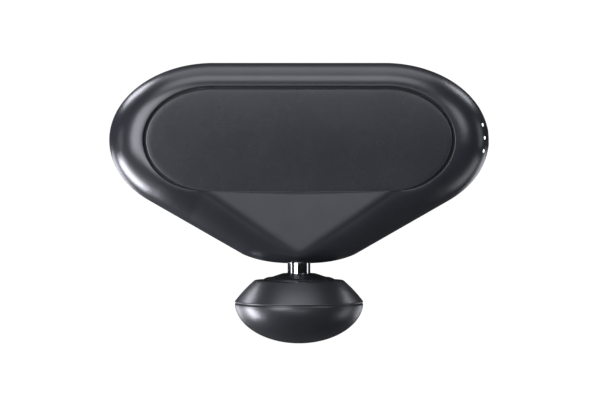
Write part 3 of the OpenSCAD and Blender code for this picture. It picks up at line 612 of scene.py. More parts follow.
def cut(mesh, cutters):
    """The mesh with the cutters taken out of it by an exact Boolean, applied for good."""
    target = bpy.data.objects.new("cut_target", mesh)
    tool = bpy.data.objects.new("cut_tool", mesh_of("cut_tool", cutters))
    for shape in (target, tool):
        bpy.context.scene.collection.objects.link(shape)
    modifier = target.modifiers.new("openings", "BOOLEAN")
    modifier.operation, modifier.solver, modifier.object = "DIFFERENCE", "EXACT", tool
    done = bpy.data.meshes.new_from_object(target.evaluated_get(bpy.context.evaluated_depsgraph_get()))
    for shape in (target, tool):
        bpy.data.objects.remove(shape)
    return done


# %% Bosses, posts and seats
BOSS_R, POST_R, BOARD_SCREW_R = 3.0 * MM, 2.2 * MM, 1.0 * MM
main_low, main_high = corners("main_board")
frame_low, frame_high = corners("frame_screws")
inner_depth = half_d - FLOOR_LIFT + 0.3 * MM    # a little into the floor
POST_IN = 2.6 * MM             # posts of the main board, in from its corners
FRAME_POST_IN, FRAME_POST_Y, FRAME_POST_R = 1.9 * MM, 11.8 * MM, POST_R + 0.6 * MM


def sleeve(x, z, outer, inner, start, end):
    """A boss: a tube along Y from start, with its bore, to the floor at end."""
    profile = [(inner, start), (outer, start), (outer, end), (inner, end)]
    return turned(profile, 32, "y", (x, 0, z))


def front_fittings():
    """Bosses that take the housing screws, posts under the main board and the seal's seat."""
    parts = [sleeve(x, z, BOSS_R, SCREW_R, -SEAM_GAP, -inner_depth) for x, z in boss_sites]
    edge = main_high[2] - POST_IN
    for x in (main_low[0] + POST_IN, main_high[0] - POST_IN):
        for z in (-edge, edge):
            parts.append(sleeve(x, z, POST_R, BOARD_SCREW_R, main_low[1], -inner_depth))
    return parts


def rear_fittings():
    """Bosses with a seat for each screw's head, and posts for the lower screws of the frame."""
    parts = []
    for x, z in boss_sites:
        profile = [(SCREW_R, SEAM_GAP), (BOSS_R, SEAM_GAP), (BOSS_R, inner_depth),
                   (SCREW_HEAD_R, inner_depth), (SCREW_HEAD_R, SCREW_SEAT_Y), (SCREW_R, SCREW_SEAT_Y)]
        parts.append(turned(profile, 32, "y", (x, 0, z)))
    x, z = frame_high[0] - FRAME_POST_IN, (frame_low[2] + frame_high[2]) / 2
    for side in (-1, 1):
        parts.append(sleeve(side * x, z, FRAME_POST_R, BOARD_SCREW_R, FRAME_POST_Y, flat_y(z) - 2 * MM))
    return parts


print(f"{len(front_fittings())} fittings in front and {len(rear_fittings())} behind")


# %% Put the two halves together
def housing_half(name, node, front):
    """One half of the housing: the cut shell joined to its fittings."""
    points = shell_points if front else shell_points * [1, -1, 1]
    shell = mesh_of(name, [(points, outward(points, shell_faces))], {"worn": shell_worn})
    shell = cut(shell, openings(front))
    fittings = mesh_of(name + "_fittings", front_fittings() if front else rear_fittings())
    work = bmesh.new()
    work.from_mesh(shell)
    work.from_mesh(fittings)
    work.to_mesh(shell)
    work.free()
    shell.name = name
    add_piece(name, shell, "body", "housing_shell", [node])


housing_half("front_shell", "front_housing", True)
housing_half("rear_shell", "rear_housing", False)

# %% [markdown]
# ## The cover plates
# A cover is a stadium with its lower edge on the fold. It is slightly crowned towards its top
# and ends, and its rounded edge catches a thin line of light. The outline is
# shrunk towards a spine, ring by ring, and the depth of each point is a formula of its place.

# %% Covers
CROWN_TOP, CROWN_END = 1.1 * MM, 0.2 * MM
PLATE_EDGE_R, PLATE_FOLD_R = 0.55 * MM, 0.15 * MM   # roundness of the edge, and along the fold
EDGE_TURNS = np.radians([18, 36, 54, 72, 90])
FOLD_FADE = 7 * MM
PEG_R, PEG_L = 1.4 * MM, 1.5 * MM
PEG_OUT, PEG_IN = 4 * MM, 9 * MM    # pegs, out past the ellipses' middles and in from the edges
PLATE_RINGS = 14
CROWN_FROM = 0.3          # how far below the middle the fall to the top begins, as a share


def stadium(grow):
    """Outline of a cover grown by grow: half ellipses whose middles are joined by straight runs."""
    angle = np.linspace(0, 2 * math.pi, 320, endpoint=False)
    straight = np.linspace(-1, 1, 60)[1:-1] * panel_x
    right = angle[(angle < math.pi / 2) | (angle > 3 * math.pi / 2)]
    right = np.sort(np.where(right > math.pi, right - 2 * math.pi, right))
    cap = ellipse(panel_x, PANEL_L + grow, panel_h + grow, right)
    top = np.stack([straight[::-1], np.full_like(straight, panel_h + grow)], -1)
    return np.vstack([cap, top, -cap, -top])


def plate_depth(plan):
    """Depth of the cover's face: full in its lower part, falling as the square of the height
    above that and as the cube of the distance towards the ends."""
    rise = np.clip((plan[:, 1] / panel_h + CROWN_FROM) / (1 + CROWN_FROM), 0, 1)
    out = np.clip(np.abs(plan[:, 0]) / panel_w, 0, 1)
    return half_d - CROWN_TOP * rise ** 2 - CROWN_END * out ** 3


def plate_parts():
    """Face rings from the spine outwards, the rounded edge, the side and the flat back."""
    outline = stadium(0)
    inwards = (stadium(-MM) - outline) / MM
    away = smoothstep((outline[:, 1] + panel_h) / FOLD_FADE)[:, None]
    edge_r = PLATE_FOLD_R + (PLATE_EDGE_R - PLATE_FOLD_R) * away
    edge = outline + inwards * edge_r
    spine = np.stack([edge[:, 0] * (panel_x / panel_w), np.zeros(len(edge))], -1)
    rings = []
    for f in np.linspace(0, 1, PLATE_RINGS)[1:]:
        plan = spine + (edge - spine) * f
        rings.append(ring(plan, plate_depth(plan)))
    for turn in EDGE_TURNS:
        plan = outline + inwards * edge_r * (1 - math.sin(turn))
        rings.append(ring(plan, plate_depth(edge) - edge_r[:, 0] * (1 - math.cos(turn))))
    rings.append(ring(outline, half_d - COVER_T))
    face_depth = plate_depth(np.zeros((1, 2)))[0]
    return lofted(rings, [[0, -face_depth, 0], [0, -(half_d - COVER_T), 0]])


def cover_plate(name, node, front):
    """A cover with its four pegs."""
    points, faces = plate_parts()
    start = -(half_d - COVER_T - 0.1 * MM)
    parts = [(points, faces)] + [
        rod(PEG_R, start, start + PEG_L, "y", (sx * (panel_x + PEG_OUT), 0, sz * (panel_h - PEG_IN)), 24)
        for sx in (-1, 1) for sz in (-1, 1)]
    if not front:
        parts = [(p * [1, -1, 1], outward(p * [1, -1, 1], f)) for p, f in parts]
    add_piece(name, mesh_of(name, parts), "body", "cover_plate", [node])


cover_plate("front_plate", "front_cover", True)
cover_plate("rear_plate", "rear_cover", False)

# %% [markdown]
# ## Rounded profiles
# Turned parts look real when their edges are rounded as a tool leaves them. A profile is a list
# of corners (r, h, radius), and each corner becomes an arc tangent to both of its sides.


# %% Fillets
def filleted(corner_list, closed=True, steps=5):
    """The profile with an arc of the given radius at each corner. Its tangent points lie
    radius / tan(half the corner's angle) away, and its centre on the corner's bisector."""
    profile, count = [], len(corner_list)
    for i, (x, y, radius) in enumerate(corner_list):
        here = np.array([x, y], float)
        if radius <= 0 or (not closed and i in (0, count - 1)):
            profile.append(here[None])
            continue
        before = np.array(corner_list[i - 1][:2]) - here
        after = np.array(corner_list[(i + 1) % count][:2]) - here
        before, after = before / np.linalg.norm(before), after / np.linalg.norm(after)
        half = math.acos(np.clip(before @ after, -1, 1)) / 2
        centre = here + (before + after) / np.linalg.norm(before + after) * radius / math.sin(half)
        first, last = (here + side * radius / math.tan(half) - centre for side in (before, after))
        f = np.linspace(0, 1, steps + 1)[:, None]
        spread = math.acos(np.clip(first @ last / radius ** 2, -1, 1))
        profile.append(centre + (np.sin((1 - f) * spread) * first + np.sin(f * spread) * last)
                       / math.sin(spread))
    return np.vstack(profile)

# %% [markdown]
# ## Shaft and seal
# The shaft is a ground and polished bar with a chamfered tip, and the seal is a rubber ring whose
# lip wipes it. Both could be cylinders with a Bevel modifier, but a turned profile gives every
# edge its own radius. Heights come from the CAD nodes' boxes.

# %% Shaft and seal
TIP_CHAMFER = 1 * MM
shaft_r = shaft_high[0]
shaft = turned(filleted([
    (0, shaft_low[2], 0), (shaft_r - TIP_CHAMFER, shaft_low[2], 0.2 * MM),
    (shaft_r, shaft_low[2] + TIP_CHAMFER, 0.3 * MM), (shaft_r, shaft_high[2], 0.2 * MM),
    (0, shaft_high[2], 0)], closed=False), 128)
add_piece("drive_rod", mesh_of("drive_rod", [shaft]), "driven_shaft", "polished_shaft", ["output_shaft"])

SHAFT_GAP = 0.1 * MM
lip = seal_low[2]
seal = turned(filleted([
    (shaft_r + SHAFT_GAP, lip + 0.5 * MM, 0.15 * MM), (shaft_r + 0.9 * MM, lip, 0.2 * MM),
    (shaft_r + 1.5 * MM, lip + 0.7 * MM, 0.25 * MM), (seal_r, lip + 0.1 * MM, 0.25 * MM),
    (seal_r, seal_high[2] - SEAL_FLANGE_T, 0), (seal_high[0], seal_high[2] - SEAL_FLANGE_T, 0.2 * MM),
    (seal_high[0], seal_high[2], 0.2 * MM), (shaft_r + SHAFT_GAP, seal_high[2], 0.2 * MM)]), 96)
add_piece("wiper_seal", mesh_of("wiper_seal", [seal]), "body", "black_rubber", ["nose_seal"])

# %% [markdown]
# ## The collar of the head
# The collar is the dark, hard cone that takes the end of the shaft. A scaled cone would do for
# the slope, but its foot ends in a bead with a shallow valley above it, and these are easiest to
# place as corners of one turned profile.

# %% Collar
collar_low, collar_high = corners("head_collar")
core_low, core_high = corners("head_core")
ball_low, ball_high = corners("head_ball")
COLLAR_R = 7.4 * MM
BEAD, BEAD_W, BEAD_FOOT = 0.7 * MM, 1.5 * MM, 2.1 * MM
BEAD_RISE, VALLEY_RISE = 1.25 * MM, 1.05 * MM   # over the ball: the bead, the valley above it
BORE_R = shaft_r + 0.13 * MM
collar_base = collar_high[0]
head_top = ball_high[2]
collar = turned(filleted([
    (BORE_R, collar_high[2], 0.2 * MM), (COLLAR_R, collar_high[2], 0.5 * MM),
    (collar_base - BEAD_FOOT, head_top + VALLEY_RISE, 0.8 * MM),
    (collar_base - BEAD_W, head_top + BEAD_RISE, 0.3 * MM),
    (collar_base, head_top + BEAD, 0.35 * MM), (collar_base, collar_low[2], 0),
    (BORE_R, collar_low[2], 0)]), 128)
add_piece("head_cone", mesh_of("head_cone", [collar]), "head", "head_plastic", ["head_collar"])

# %% [markdown]
# ## The ball of the head
# The ball is moulded foam: a flat top, a cone that swells a little and a dome, with a fine parting
# line under its widest edge. A squashed sphere would lose that edge, so a sine swells the cone, a
# quarter ellipse makes the dome, and the profile runs on inside, round the socket of the core.

# %% Ball
HEAD_TOP_R, WIDE_DROP = 19.6 * MM, 9.4 * MM
PART_LINE = 0.45 * MM       # depth of the notch, and how far it lies under the widest edge
LIP_IN, LIP_DROP = 0.16 * MM, 1.2 * MM   # where the skin is full again below the notch
CORE_FLANGE_T, CORE_NECK_IN, CORE_FOOT_IN = 2 * MM, 5 * MM, 2 * MM
BULGE = 0.245 * MM          # how far the cone swells, outwards and upwards
head_r = ball_high[0]
wide_z = head_top - WIDE_DROP
core_r, core_foot_r = core_high[0] - CORE_NECK_IN, core_high[0] - CORE_FOOT_IN
dome_t = np.radians(np.linspace(7, 90, 40))
dome = np.stack([head_r * np.cos(dome_t), wide_z + (ball_low[2] - wide_z) * np.sin(dome_t)], -1)
cone_f = np.linspace(0, 1, 14)[2:-1, None]
cone_top, cone_foot = np.array([HEAD_TOP_R, head_top]), np.array([head_r, wide_z])
cone = cone_top + (cone_foot - cone_top) * cone_f + BULGE * np.sin(math.pi * cone_f)
socket = [(0, core_low[2], 0), (core_foot_r, core_low[2], 0),
          (core_foot_r, core_low[2] + CORE_FLANGE_T, 0), (core_r, core_low[2] + CORE_FLANGE_T, 0),
          (core_r, core_high[2] - CORE_FLANGE_T, 0), (core_high[0], core_high[2] - CORE_FLANGE_T, 0),
          (core_high[0], core_high[2], 0), (collar_base, core_high[2], 0)]
profile = filleted(
    socket + [(collar_base, head_top, 0.2 * MM), (HEAD_TOP_R, head_top, 1.0 * MM)]
    + [(*p, 0) for p in cone]
    + [(head_r, wide_z, 0.4 * MM), (head_r - PART_LINE, wide_z - PART_LINE, 0.1 * MM),
       (head_r - LIP_IN, wide_z - LIP_DROP, 0.2 * MM)]
    + [(*p, 0) for p in dome], closed=False)
add_piece("ball_head", mesh_of("ball_head", [turned(profile, 160)]), "head", "head_foam", ["head_ball"])

# %% [markdown]
# ## The button
# The button's face follows the curve of the lobe and stands a little proud of it. A block with
# rounded edges would have a straight face, so its rings are laid over the lobe's own ellipse,
# with a shallow dish for the finger. A flange behind keeps it from falling out.

# %% Button
BUTTON_PROUD = 0.35 * MM
BUTTON_FACE, BUTTON_LIP, BUTTON_FLANGE = 2.6 * MM, 1.2 * MM, 0.8 * MM
STEM_R, STEM_L = 2 * MM, 1.3 * MM
BUTTON_FORM = [(0.04, 0.16), (0.3, 0.13), (0.55, 0.07), (0.72, 0.02), (0.82, 0.0), (0.9, 0.05),
               (0.955, 0.16), (0.985, 0.32), (1.0, 0.55)]   # share of the outline, drop in mm
face_x0 = half_w + BUTTON_PROUD - BUTTON_FACE


def button_parts():
    """Pill-shaped rings from the middle of the face outwards and down its side. The face lies at
    X + L sqrt(1 - (z / H)^2), the lobe's own curve, less a dish and a roll at its edge."""
    rings, outline = [], pill(BUTTON_W, BUTTON_L)
    for f, drop in BUTTON_FORM:
        plan = outline * f
        lobe = lobe_x + LOBE_L * np.sqrt(1 - ((plan[:, 1] + button_z) / lobe_h) ** 2)
        rings.append(np.stack([lobe + BUTTON_PROUD - drop * MM, plan[:, 0], plan[:, 1] + button_z], -1))
    rings.append(np.stack([np.full(len(outline), face_x0), outline[:, 0], outline[:, 1] + button_z], -1))
    w, l = BUTTON_W + 2 * BUTTON_LIP, BUTTON_L + 2 * BUTTON_LIP
    flange = bar_x([(face_x0, w, l), (face_x0 - BUTTON_FLANGE, w, l)], button_z)
    stem_end = face_x0 - BUTTON_FLANGE - STEM_L
    stem = rod(STEM_R, stem_end, face_x0 - BUTTON_FLANGE, "x", (0, 0, button_z), 32)
    return [lofted(rings), flange, stem]


add_piece("button_pad", mesh_of("button_pad", button_parts()), "button", "button_plastic", ["button"])

# %% [markdown]
# ## The lights
# Each light is a short clear rod that carries a chip's light out through the band. Its end is a
# low dome that lies in the band's surface, so the rod is turned along X and then tilted there.

# %% Lights
LENS_L, LENS_DOME = 3.2 * MM, 0.12 * MM
lens_t = np.radians(np.linspace(0, 90, 8))
lens_profile = np.vstack([
    [(0, -LENS_L), (LIGHT_R, -LENS_L)],
    np.stack([LIGHT_R * np.cos(lens_t), LENS_DOME * np.sin(lens_t)], -1)])
lenses = [tilted(turned(lens_profile, 32, "x"), site, LIGHT_TILT) for site in light_sites()]
add_piece("light_rods", mesh_of("light_rods", lenses), "body", "light_guide", ["led_lenses"])

# %% [markdown]
# ## Shader maths as Python
# A material is a graph of nodes. Writing it as an expression keeps it readable, so a small class
# wraps one output socket, and adding or multiplying two of them adds the Math node that does it.
# Other nodes come from one method that takes a type, its settings and its inputs.


# %% Fields and finishes
class Field:
    """A number that varies over a surface: one output socket with Python's operators."""

    def __init__(self, finish, socket):
        self.finish, self.socket = finish, socket

    def _with(self, operation, first, second):
        return self.finish.node("Math", {"operation": operation}, {0: first, 1: second})

    def __add__(self, other):
        return self._with("ADD", self, other)

    def __mul__(self, other):
        return self._with("MULTIPLY", self, other)

    def __sub__(self, other):
        return self._with("SUBTRACT", self, other)

    def __rsub__(self, other):
        return self._with("SUBTRACT", other, self)

    __radd__, __rmul__ = __add__, __mul__

    def ramp(self, low, high, to_low=0.0, to_high=1.0):
        """The field carried from low..high to to_low..to_high along a smooth step, and held there."""
        return self.finish.node("MapRange", {"interpolation_type": "SMOOTHSTEP"}, {
            0: self, 1: low, 2: high, 3: to_low, 4: to_high})


class Finish:
    """A material with one Principled shader, and the fields that feed it."""

    def __init__(self, name):
        self.material = bpy.data.materials.new(name)
        self.material.use_nodes = True
        self.tree = self.material.node_tree
        self.shader = self.tree.nodes["Principled BSDF"]
        self.place = self.node("TexCoord", {}, {}, "Object")

    def node(self, kind, settings, inputs, out=0):
        """Adds a shader node of this kind, sets its settings, fills its inputs, returns one output."""
        made = self.tree.nodes.new("ShaderNode" + kind)
        for key, value in settings.items():
            setattr(made, key, value)
        for key, value in inputs.items():
            if isinstance(value, Field):
                self.tree.links.new(value.socket, made.inputs[key])
            else:
                made.inputs[key].default_value = value
        return Field(self, made.outputs[out])

    def set(self, **values):
        """Sets the shader's sockets, named with _ for a space, to a number, a colour or a field."""
        for key, value in values.items():
            socket = self.shader.inputs[key.replace("_", " ")]
            if isinstance(value, Field):
                self.tree.links.new(value.socket, socket)
            else:
                socket.default_value = (*value, 1) if isinstance(value, tuple) else value
        return self

    def stretched(self, x, y, z):
        """The place with each axis scaled, so that a pattern runs along one of them."""
        return self.node("Mapping", {"vector_type": "POINT"},
                         {"Vector": self.place, "Scale": (x, y, z)}, "Vector")

    def noise(self, size, detail=2.0, rough=0.5, place=None):
        """Cloudy noise from 0 to 1 whose lumps are about size metres across."""
        return self.node("TexNoise", {}, {"Vector": place or self.place, "Scale": 1 / size,
                                          "Detail": detail, "Roughness": rough}, "Fac")

    def cells(self, size, feature="F1", place=None):
        """Distance field of scattered points about size metres apart."""
        return self.node("TexVoronoi", {"feature": feature},
                         {"Vector": place or self.place, "Scale": 1 / size}, "Distance")

    def blend(self, factor, first, second):
        """A colour between two colours."""
        return self.node("Mix", {"data_type": "RGBA"}, {
            0: factor, 6: first if isinstance(first, Field) else (*first, 1),
            7: second if isinstance(second, Field) else (*second, 1)}, 2)

    def along(self, axis):
        """One coordinate of the place."""
        return self.node("SeparateXYZ", {}, {"Vector": self.place}, axis)

    def bump(self, height, depth, strength=1.0):
        """Feeds the height field, depth metres from 0 to 1, to the shader's normal."""
        return self.set(Normal=self.node("Bump", {}, {
            "Height": height, "Distance": depth, "Strength": strength}))


finishes = {}


def finish(slot_name):
    """Registers the function below it as the maker of that slot's material."""
    def keep(make):
        finishes[slot_name] = make(Finish(slot_name + "_finish")).material
        return make
    return keep

# %% [markdown]
# ## Moulded plastics and rubber
# A soft-touch housing is dark and satin. What makes it real is small: the fine spark-eroded
# grain of the mould, a slow change of tone, faint handling marks that are a little smoother, and
# edges rubbed a little paler. The grain is a bump, and the rest moves colour and roughness.


# %% Plastics
def coated(look, mix, dark, light, rough, relief, depth, strength=0.5):
    """Colour from dark to light as mix goes from 0 to 1, and relief depth metres high."""
    look.set(Base_Color=look.blend(mix, dark, light), Roughness=rough)
    return look.bump(relief, depth, strength)


def moulded(look, tone, pale, rough, grain, depth, worn=None, relief=None):
    """A satin plastic: tone mottled towards pale, grain metres wide and depth metres high. Worn
    parts turn paler. A relief of its own, (field, depth, strength), takes the grain's place."""
    slow = look.noise(18 * MM, 3)
    marks = look.noise(9 * MM, 2, 0.5).ramp(0.45, 0.75)
    fine = look.noise(grain, 3, 0.6)
    colour = look.blend(slow.ramp(0.3, 0.7) * 0.7 + fine * 0.3, tone, pale)
    roughness = rough + (fine - 0.5) * 0.06 - marks * 0.02
    if worn is not None:
        colour = look.blend(worn * fine.ramp(0.35, 0.6) * 0.5, colour, tuple(3.2 * v for v in pale))
        roughness = roughness - worn * 0.06
    look.set(Base_Color=colour, Roughness=roughness)
    return look.bump(*(relief or (fine + look.cells(grain * 2.5) * 0.5, depth, 0.5)))


@finish("housing_shell")
def housing_shell(look):
    """Soft-touch charcoal with rubbed edges, which the shell's own attribute marks."""
    worn = look.node("Attribute", {"attribute_name": "worn"}, {}, "Fac")
    look.set(Specular_IOR_Level=0.5)
    return moulded(look, (0.010, 0.0107, 0.013), (0.014, 0.015, 0.018), 0.30,
                   0.22 * MM, 0.012 * MM, worn)


@finish("cover_plate")
def cover_plate_finish(look):
    """The same compound from a finer mould."""
    return moulded(look, (0.011, 0.0117, 0.0135), (0.015, 0.016, 0.0185), 0.27, 0.16 * MM, 0.010 * MM)


@finish("head_plastic")
def head_plastic(look):
    """Darker hard plastic with turned, very fine rings."""
    rings = look.noise(0.35 * MM, 2, place=look.stretched(0.08, 0.08, 1))
    look.set(Specular_IOR_Level=0.2)
    return moulded(look, (0.006, 0.0065, 0.008), (0.010, 0.0105, 0.012), 0.45, 0.2 * MM, 0,
                   relief=(rings, 0.01 * MM, 0.4))


@finish("head_foam")
def head_foam(look):
    """Closed-cell foam: a smooth moulded skin with small pores in it and a dull bloom."""
    pores = look.cells(0.55 * MM).ramp(0.05, 0.32)
    speckle = look.noise(0.3 * MM, 3, 0.7)
    bloom = look.noise(14 * MM, 3).ramp(0.35, 0.7)
    colour = look.blend(bloom * 0.6 + speckle * 0.4, (0.010, 0.0105, 0.0125), (0.016, 0.0165, 0.019))
    look.set(Base_Color=look.blend(1 - pores, colour, (0.008, 0.008, 0.010)),
             Roughness=0.32 + speckle * 0.10 - bloom * 0.04)
    return look.bump(pores * 0.8 + speckle * 0.4, 0.02 * MM, 0.35)


@finish("button_plastic")
def button_plastic(look):
    """Slightly rubbery button skin with a tight leather-like grain."""
    grain = look.cells(0.35 * MM, "SMOOTH_F1")
    return coated(look, look.noise(5 * MM, 3), (0.022, 0.023, 0.027), (0.034, 0.035, 0.040),
                  0.46 + grain * 0.15, grain, 0.02 * MM)


@finish("black_rubber")
def black_rubber(look):
    """Moulded rubber: nearly black, dull, with flow marks and a dusty bloom."""
    flow = look.noise(2.5 * MM, 4, 0.6, look.stretched(1, 1, 0.4))
    dust = look.noise(0.2 * MM, 2).ramp(0.55, 0.8)
    return coated(look, flow * 0.6 + dust * 0.4, (0.008, 0.008, 0.009), (0.022, 0.022, 0.023),
                  0.62 + flow * 0.2, flow * 0.5 + dust, 0.02 * MM, 0.4)


@finish("holder_nylon")
def holder_nylon(look):
    """Glass-filled nylon: short pale fibres lie in a grey ground."""
    fibre = look.noise(0.6 * MM, 2, place=look.stretched(0.12, 1, 1)).ramp(0.6, 0.72)
    ground = look.blend(look.noise(9 * MM, 3), (0.04, 0.042, 0.046), (0.06, 0.062, 0.068))
    return coated(look, fibre * 0.55, ground, (0.20, 0.20, 0.21), 0.55 + fibre * 0.15, fibre,
                  0.015 * MM)


@finish("cell_sleeve")
def cell_sleeve(look):
    """Shrink sleeve over a steel can: glossy, with a few creases at its shoulders, which lie
    22.3 to 24 mm above and below the middle."""
    height = look.along(2)
    shoulder = (height * height).ramp((22.3 * MM) ** 2, (24 * MM) ** 2)
    crease = look.noise(0.9 * MM, 2, place=look.stretched(1, 1, 0.2)).ramp(0.5, 0.7)
    return coated(look, shoulder * crease * 0.7 + look.noise(7 * MM) * 0.2, (0.03, 0.13, 0.42),
                  (0.12, 0.26, 0.60), 0.28 + shoulder * 0.15, shoulder * crease, 0.05 * MM, 0.6)


@finish("wire_sleeve")
def wire_sleeve(look):
    """Silicone sleeve: matt red, lightly streaked along its run."""
    streak = look.noise(0.5 * MM, 3)
    return coated(look, streak, (0.30, 0.02, 0.02), (0.46, 0.05, 0.04), 0.5 + streak * 0.2,
                  streak, 0.01 * MM, 0.4)


# %% [markdown]
# ## Electronics
# A board is green resist over copper: tracks show as slightly paler, slightly raised lines. Two
# families of straight lines with gaps in them, one across and one up, read as tracks at this
# size. The chips carry no lettering, only the matt grain of their moulding.


# %% Boards, chips and lights
@finish("circuit_board")
def circuit_board(look):
    """Solder resist with tracks, small round pads and bare edges of laminate."""
    across = look.noise(1.6 * MM, 0, place=look.stretched(0.15, 1, 1)).ramp(0.52, 0.55)
    up = look.noise(1.6 * MM, 0, place=look.stretched(1, 1, 0.15)).ramp(0.52, 0.55)
    tracks = across * (1 - up) + up * (1 - across)
    pads = 1 - look.cells(3.1 * MM).ramp(0.14, 0.17)
    colour = look.blend(tracks, (0.006, 0.055, 0.022), (0.014, 0.105, 0.040))
    look.set(Base_Color=look.blend(pads, colour, (0.55, 0.50, 0.36)), Metallic=pads * 0.9,
             Roughness=0.30 + look.noise(0.8 * MM) * 0.15)
    return look.bump(tracks + pads * 0.5, 0.03 * MM, 0.7)


@finish("chip_black")
def chip_black(look):
    """Moulded package: black, matt, with a fine sparkle of filler."""
    filler = look.noise(0.12 * MM, 2)
    return coated(look, filler, (0.010, 0.010, 0.011), (0.030, 0.030, 0.032),
                  0.55 + filler * 0.2, filler, 0.01 * MM, 0.6)


@finish("light_chip")
def light_chip(look):
    """Phosphor under clear resin: yellow, grainy, glossy."""
    grain = look.noise(0.1 * MM, 2)
    look.set(Base_Color=look.blend(grain, (0.75, 0.55, 0.08), (0.95, 0.80, 0.25)),
             Roughness=0.2 + grain * 0.1, Emission_Color=(1.0, 0.95, 0.85), Emission_Strength=0.6)
    return look


@finish("light_guide")
def light_guide(look):
    """A lit, slightly cloudy rod end."""
    cloud = look.noise(0.5 * MM, 2)
    look.set(Base_Color=look.blend(cloud, (0.80, 0.84, 0.90), (0.95, 0.97, 1.0)),
             Roughness=0.15 + cloud * 0.1, Emission_Strength=1.3,
             Emission_Color=look.blend(cloud, (0.85, 0.92, 1.0), (1.0, 1.0, 1.0)))
    return look


# %% [markdown]
# ## Metals
# Metals differ by how they were made. Ground bars show fine rings, stamped steel shows grain
# that runs one way, castings are pebbly and dull, and plating is cloudy. One function makes the
# plain metal and each finish adds the pattern of its own process.


# %% Metals
def metal(look, dark, light, rough, pattern, depth, spread=0.15, relief=None):
    """A bare metal whose tone and roughness follow its pattern. The pattern stands up as relief,
    unless another relief, (field, depth, strength), takes its place."""
    stain = look.noise(6 * MM, 4, 0.6)
    look.set(Metallic=1.0, Base_Color=look.blend(pattern * 0.6 + stain * 0.4, dark, light),
             Roughness=rough + (pattern - 0.5) * spread + (stain - 0.5) * 0.08)
    return look.bump(*(relief or (pattern, depth, 0.5)))


def sheet_lines(look, pitch):
    """Bands across the Y axis, one for each pitch."""
    scale = 1 / (2 * math.pi * pitch)
    return look.node("TexWave", {"bands_direction": "Y"}, {"Vector": look.place, "Scale": scale}, "Fac")


# Size of the pattern in mm, detail, noise roughness, stretch, dark and light tone, roughness,
# relief in mm and spread of the roughness.
plain_metals = {
    # Ground and polished bar, with hair-fine rings round Z.
    "polished_shaft": (0.12, 2, 0.5, (0.02, 0.02, 1), (0.60, 0.61, 0.63), (0.74, 0.75, 0.77),
                       0.10, 0.0002, 0.03),
    # Ground steel with rings round Y.
    "bearing_steel": (0.2, 2, 0.5, (1, 0.05, 1), (0.50, 0.51, 0.53), (0.72, 0.73, 0.75),
                      0.18, 0.004, 0.15),
    # Zinc plate, cloudy, faintly blue and yellow in patches.
    "zinc_steel": (1.2, 4, 0.6, (1, 1, 1), (0.42, 0.44, 0.47), (0.66, 0.66, 0.62), 0.32, 0.008, 0.2),
    # Tinned stamping with draw marks along X.
    "switch_metal": (0.25, 2, 0.5, (0.1, 1, 1), (0.50, 0.51, 0.52), (0.74, 0.75, 0.76),
                     0.26, 0.006, 0.15),
    # Die casting, pebbly and light grey.
    "cast_aluminium": (0.7, 4, 0.6, (1, 1, 1), (0.36, 0.37, 0.38), (0.60, 0.61, 0.62),
                       0.42, 0.05, 0.25),
    # Blackened steel, turned, with fine rings and a soft sheen.
    "bell_steel": (0.3, 3, 0.5, (1, 0.06, 1), (0.10, 0.105, 0.12), (0.22, 0.225, 0.24),
                   0.36, 0.008, 0.15),
    # Nickel plate, smooth and bright, with a slight orange peel.
    "magnet_nickel": (0.5, 2, 0.5, (1, 1, 1), (0.56, 0.54, 0.51), (0.70, 0.68, 0.65),
                      0.20, 0.01, 0.15)}
for slot_name, numbers in plain_metals.items():
    size, detail, cloudy, stretch, dark, light, rough, relief, spread = numbers
    look = Finish(slot_name + "_finish")
    pattern = look.noise(size * MM, detail, cloudy, look.stretched(*stretch))
    metal(look, dark, light, rough, pattern, relief * MM, spread)
    finishes[slot_name] = look.material


@finish("nickel_strip")
def nickel_strip(look):
    """Rolled nickel with pairs of weld spots where it lies on the cells."""
    rolled = look.noise(0.3 * MM, 2, place=look.stretched(0.08, 1, 1))
    weld = 1 - look.cells(2.4 * MM).ramp(0.10, 0.2)
    return metal(look, (0.55, 0.53, 0.50), (0.74, 0.72, 0.68), 0.28, rolled, 0,
                 relief=(rolled * 0.3 - weld, 0.06 * MM, 0.7))


@finish("lamination_steel")
def lamination_steel(look):
    """A stack of thin sheets: dark lines across the Y axis every third of a millimetre."""
    sheets = sheet_lines(look, 0.33 * MM)
    return metal(look, (0.14, 0.145, 0.16), (0.38, 0.39, 0.42), 0.45, sheets, 0.04 * MM, 0.2)


@finish("copper_wire")
def copper_wire(look):
    """Enamelled wire laid turn by turn: fine bands across each coil's length, under clear enamel."""
    turns = sheet_lines(look, 0.5 * MM)
    metal(look, (0.36, 0.10, 0.035), (0.80, 0.36, 0.16), 0.30, turns, 0.12 * MM, 0.15)
    return look.set(Coat_Weight=0.5 + turns * 0.3)


@finish("crank_steel")
def crank_steel(look):
    """Milled steel with tool marks that run across and a trace of oil."""
    marks = look.noise(0.4 * MM, 2, place=look.stretched(1, 1, 0.1))
    oil = look.noise(5 * MM, 3).ramp(0.5, 0.65)
    metal(look, (0.34, 0.345, 0.355), (0.52, 0.525, 0.54), 0.34, marks, 0.015 * MM, 0.2)
    return look.set(Coat_Weight=oil * 0.6)


@finish("bush_bronze")
def bush_bronze(look):
    """Sintered bronze: a close crowd of dark pores."""
    pores = look.cells(0.3 * MM).ramp(0.15, 0.4)
    return metal(look, (0.22, 0.12, 0.04), (0.58, 0.36, 0.14), 0.48, pores, 0.02 * MM)


# %% Give every piece its finish
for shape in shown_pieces():
    slot_name = shape.get("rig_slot") or shape.data.materials[0].name
    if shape.get("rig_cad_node"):
        shape.material_slots[0].material = finishes[slot_name]
    else:
        shape.data.materials.clear()
        shape.data.materials.append(finishes[slot_name])

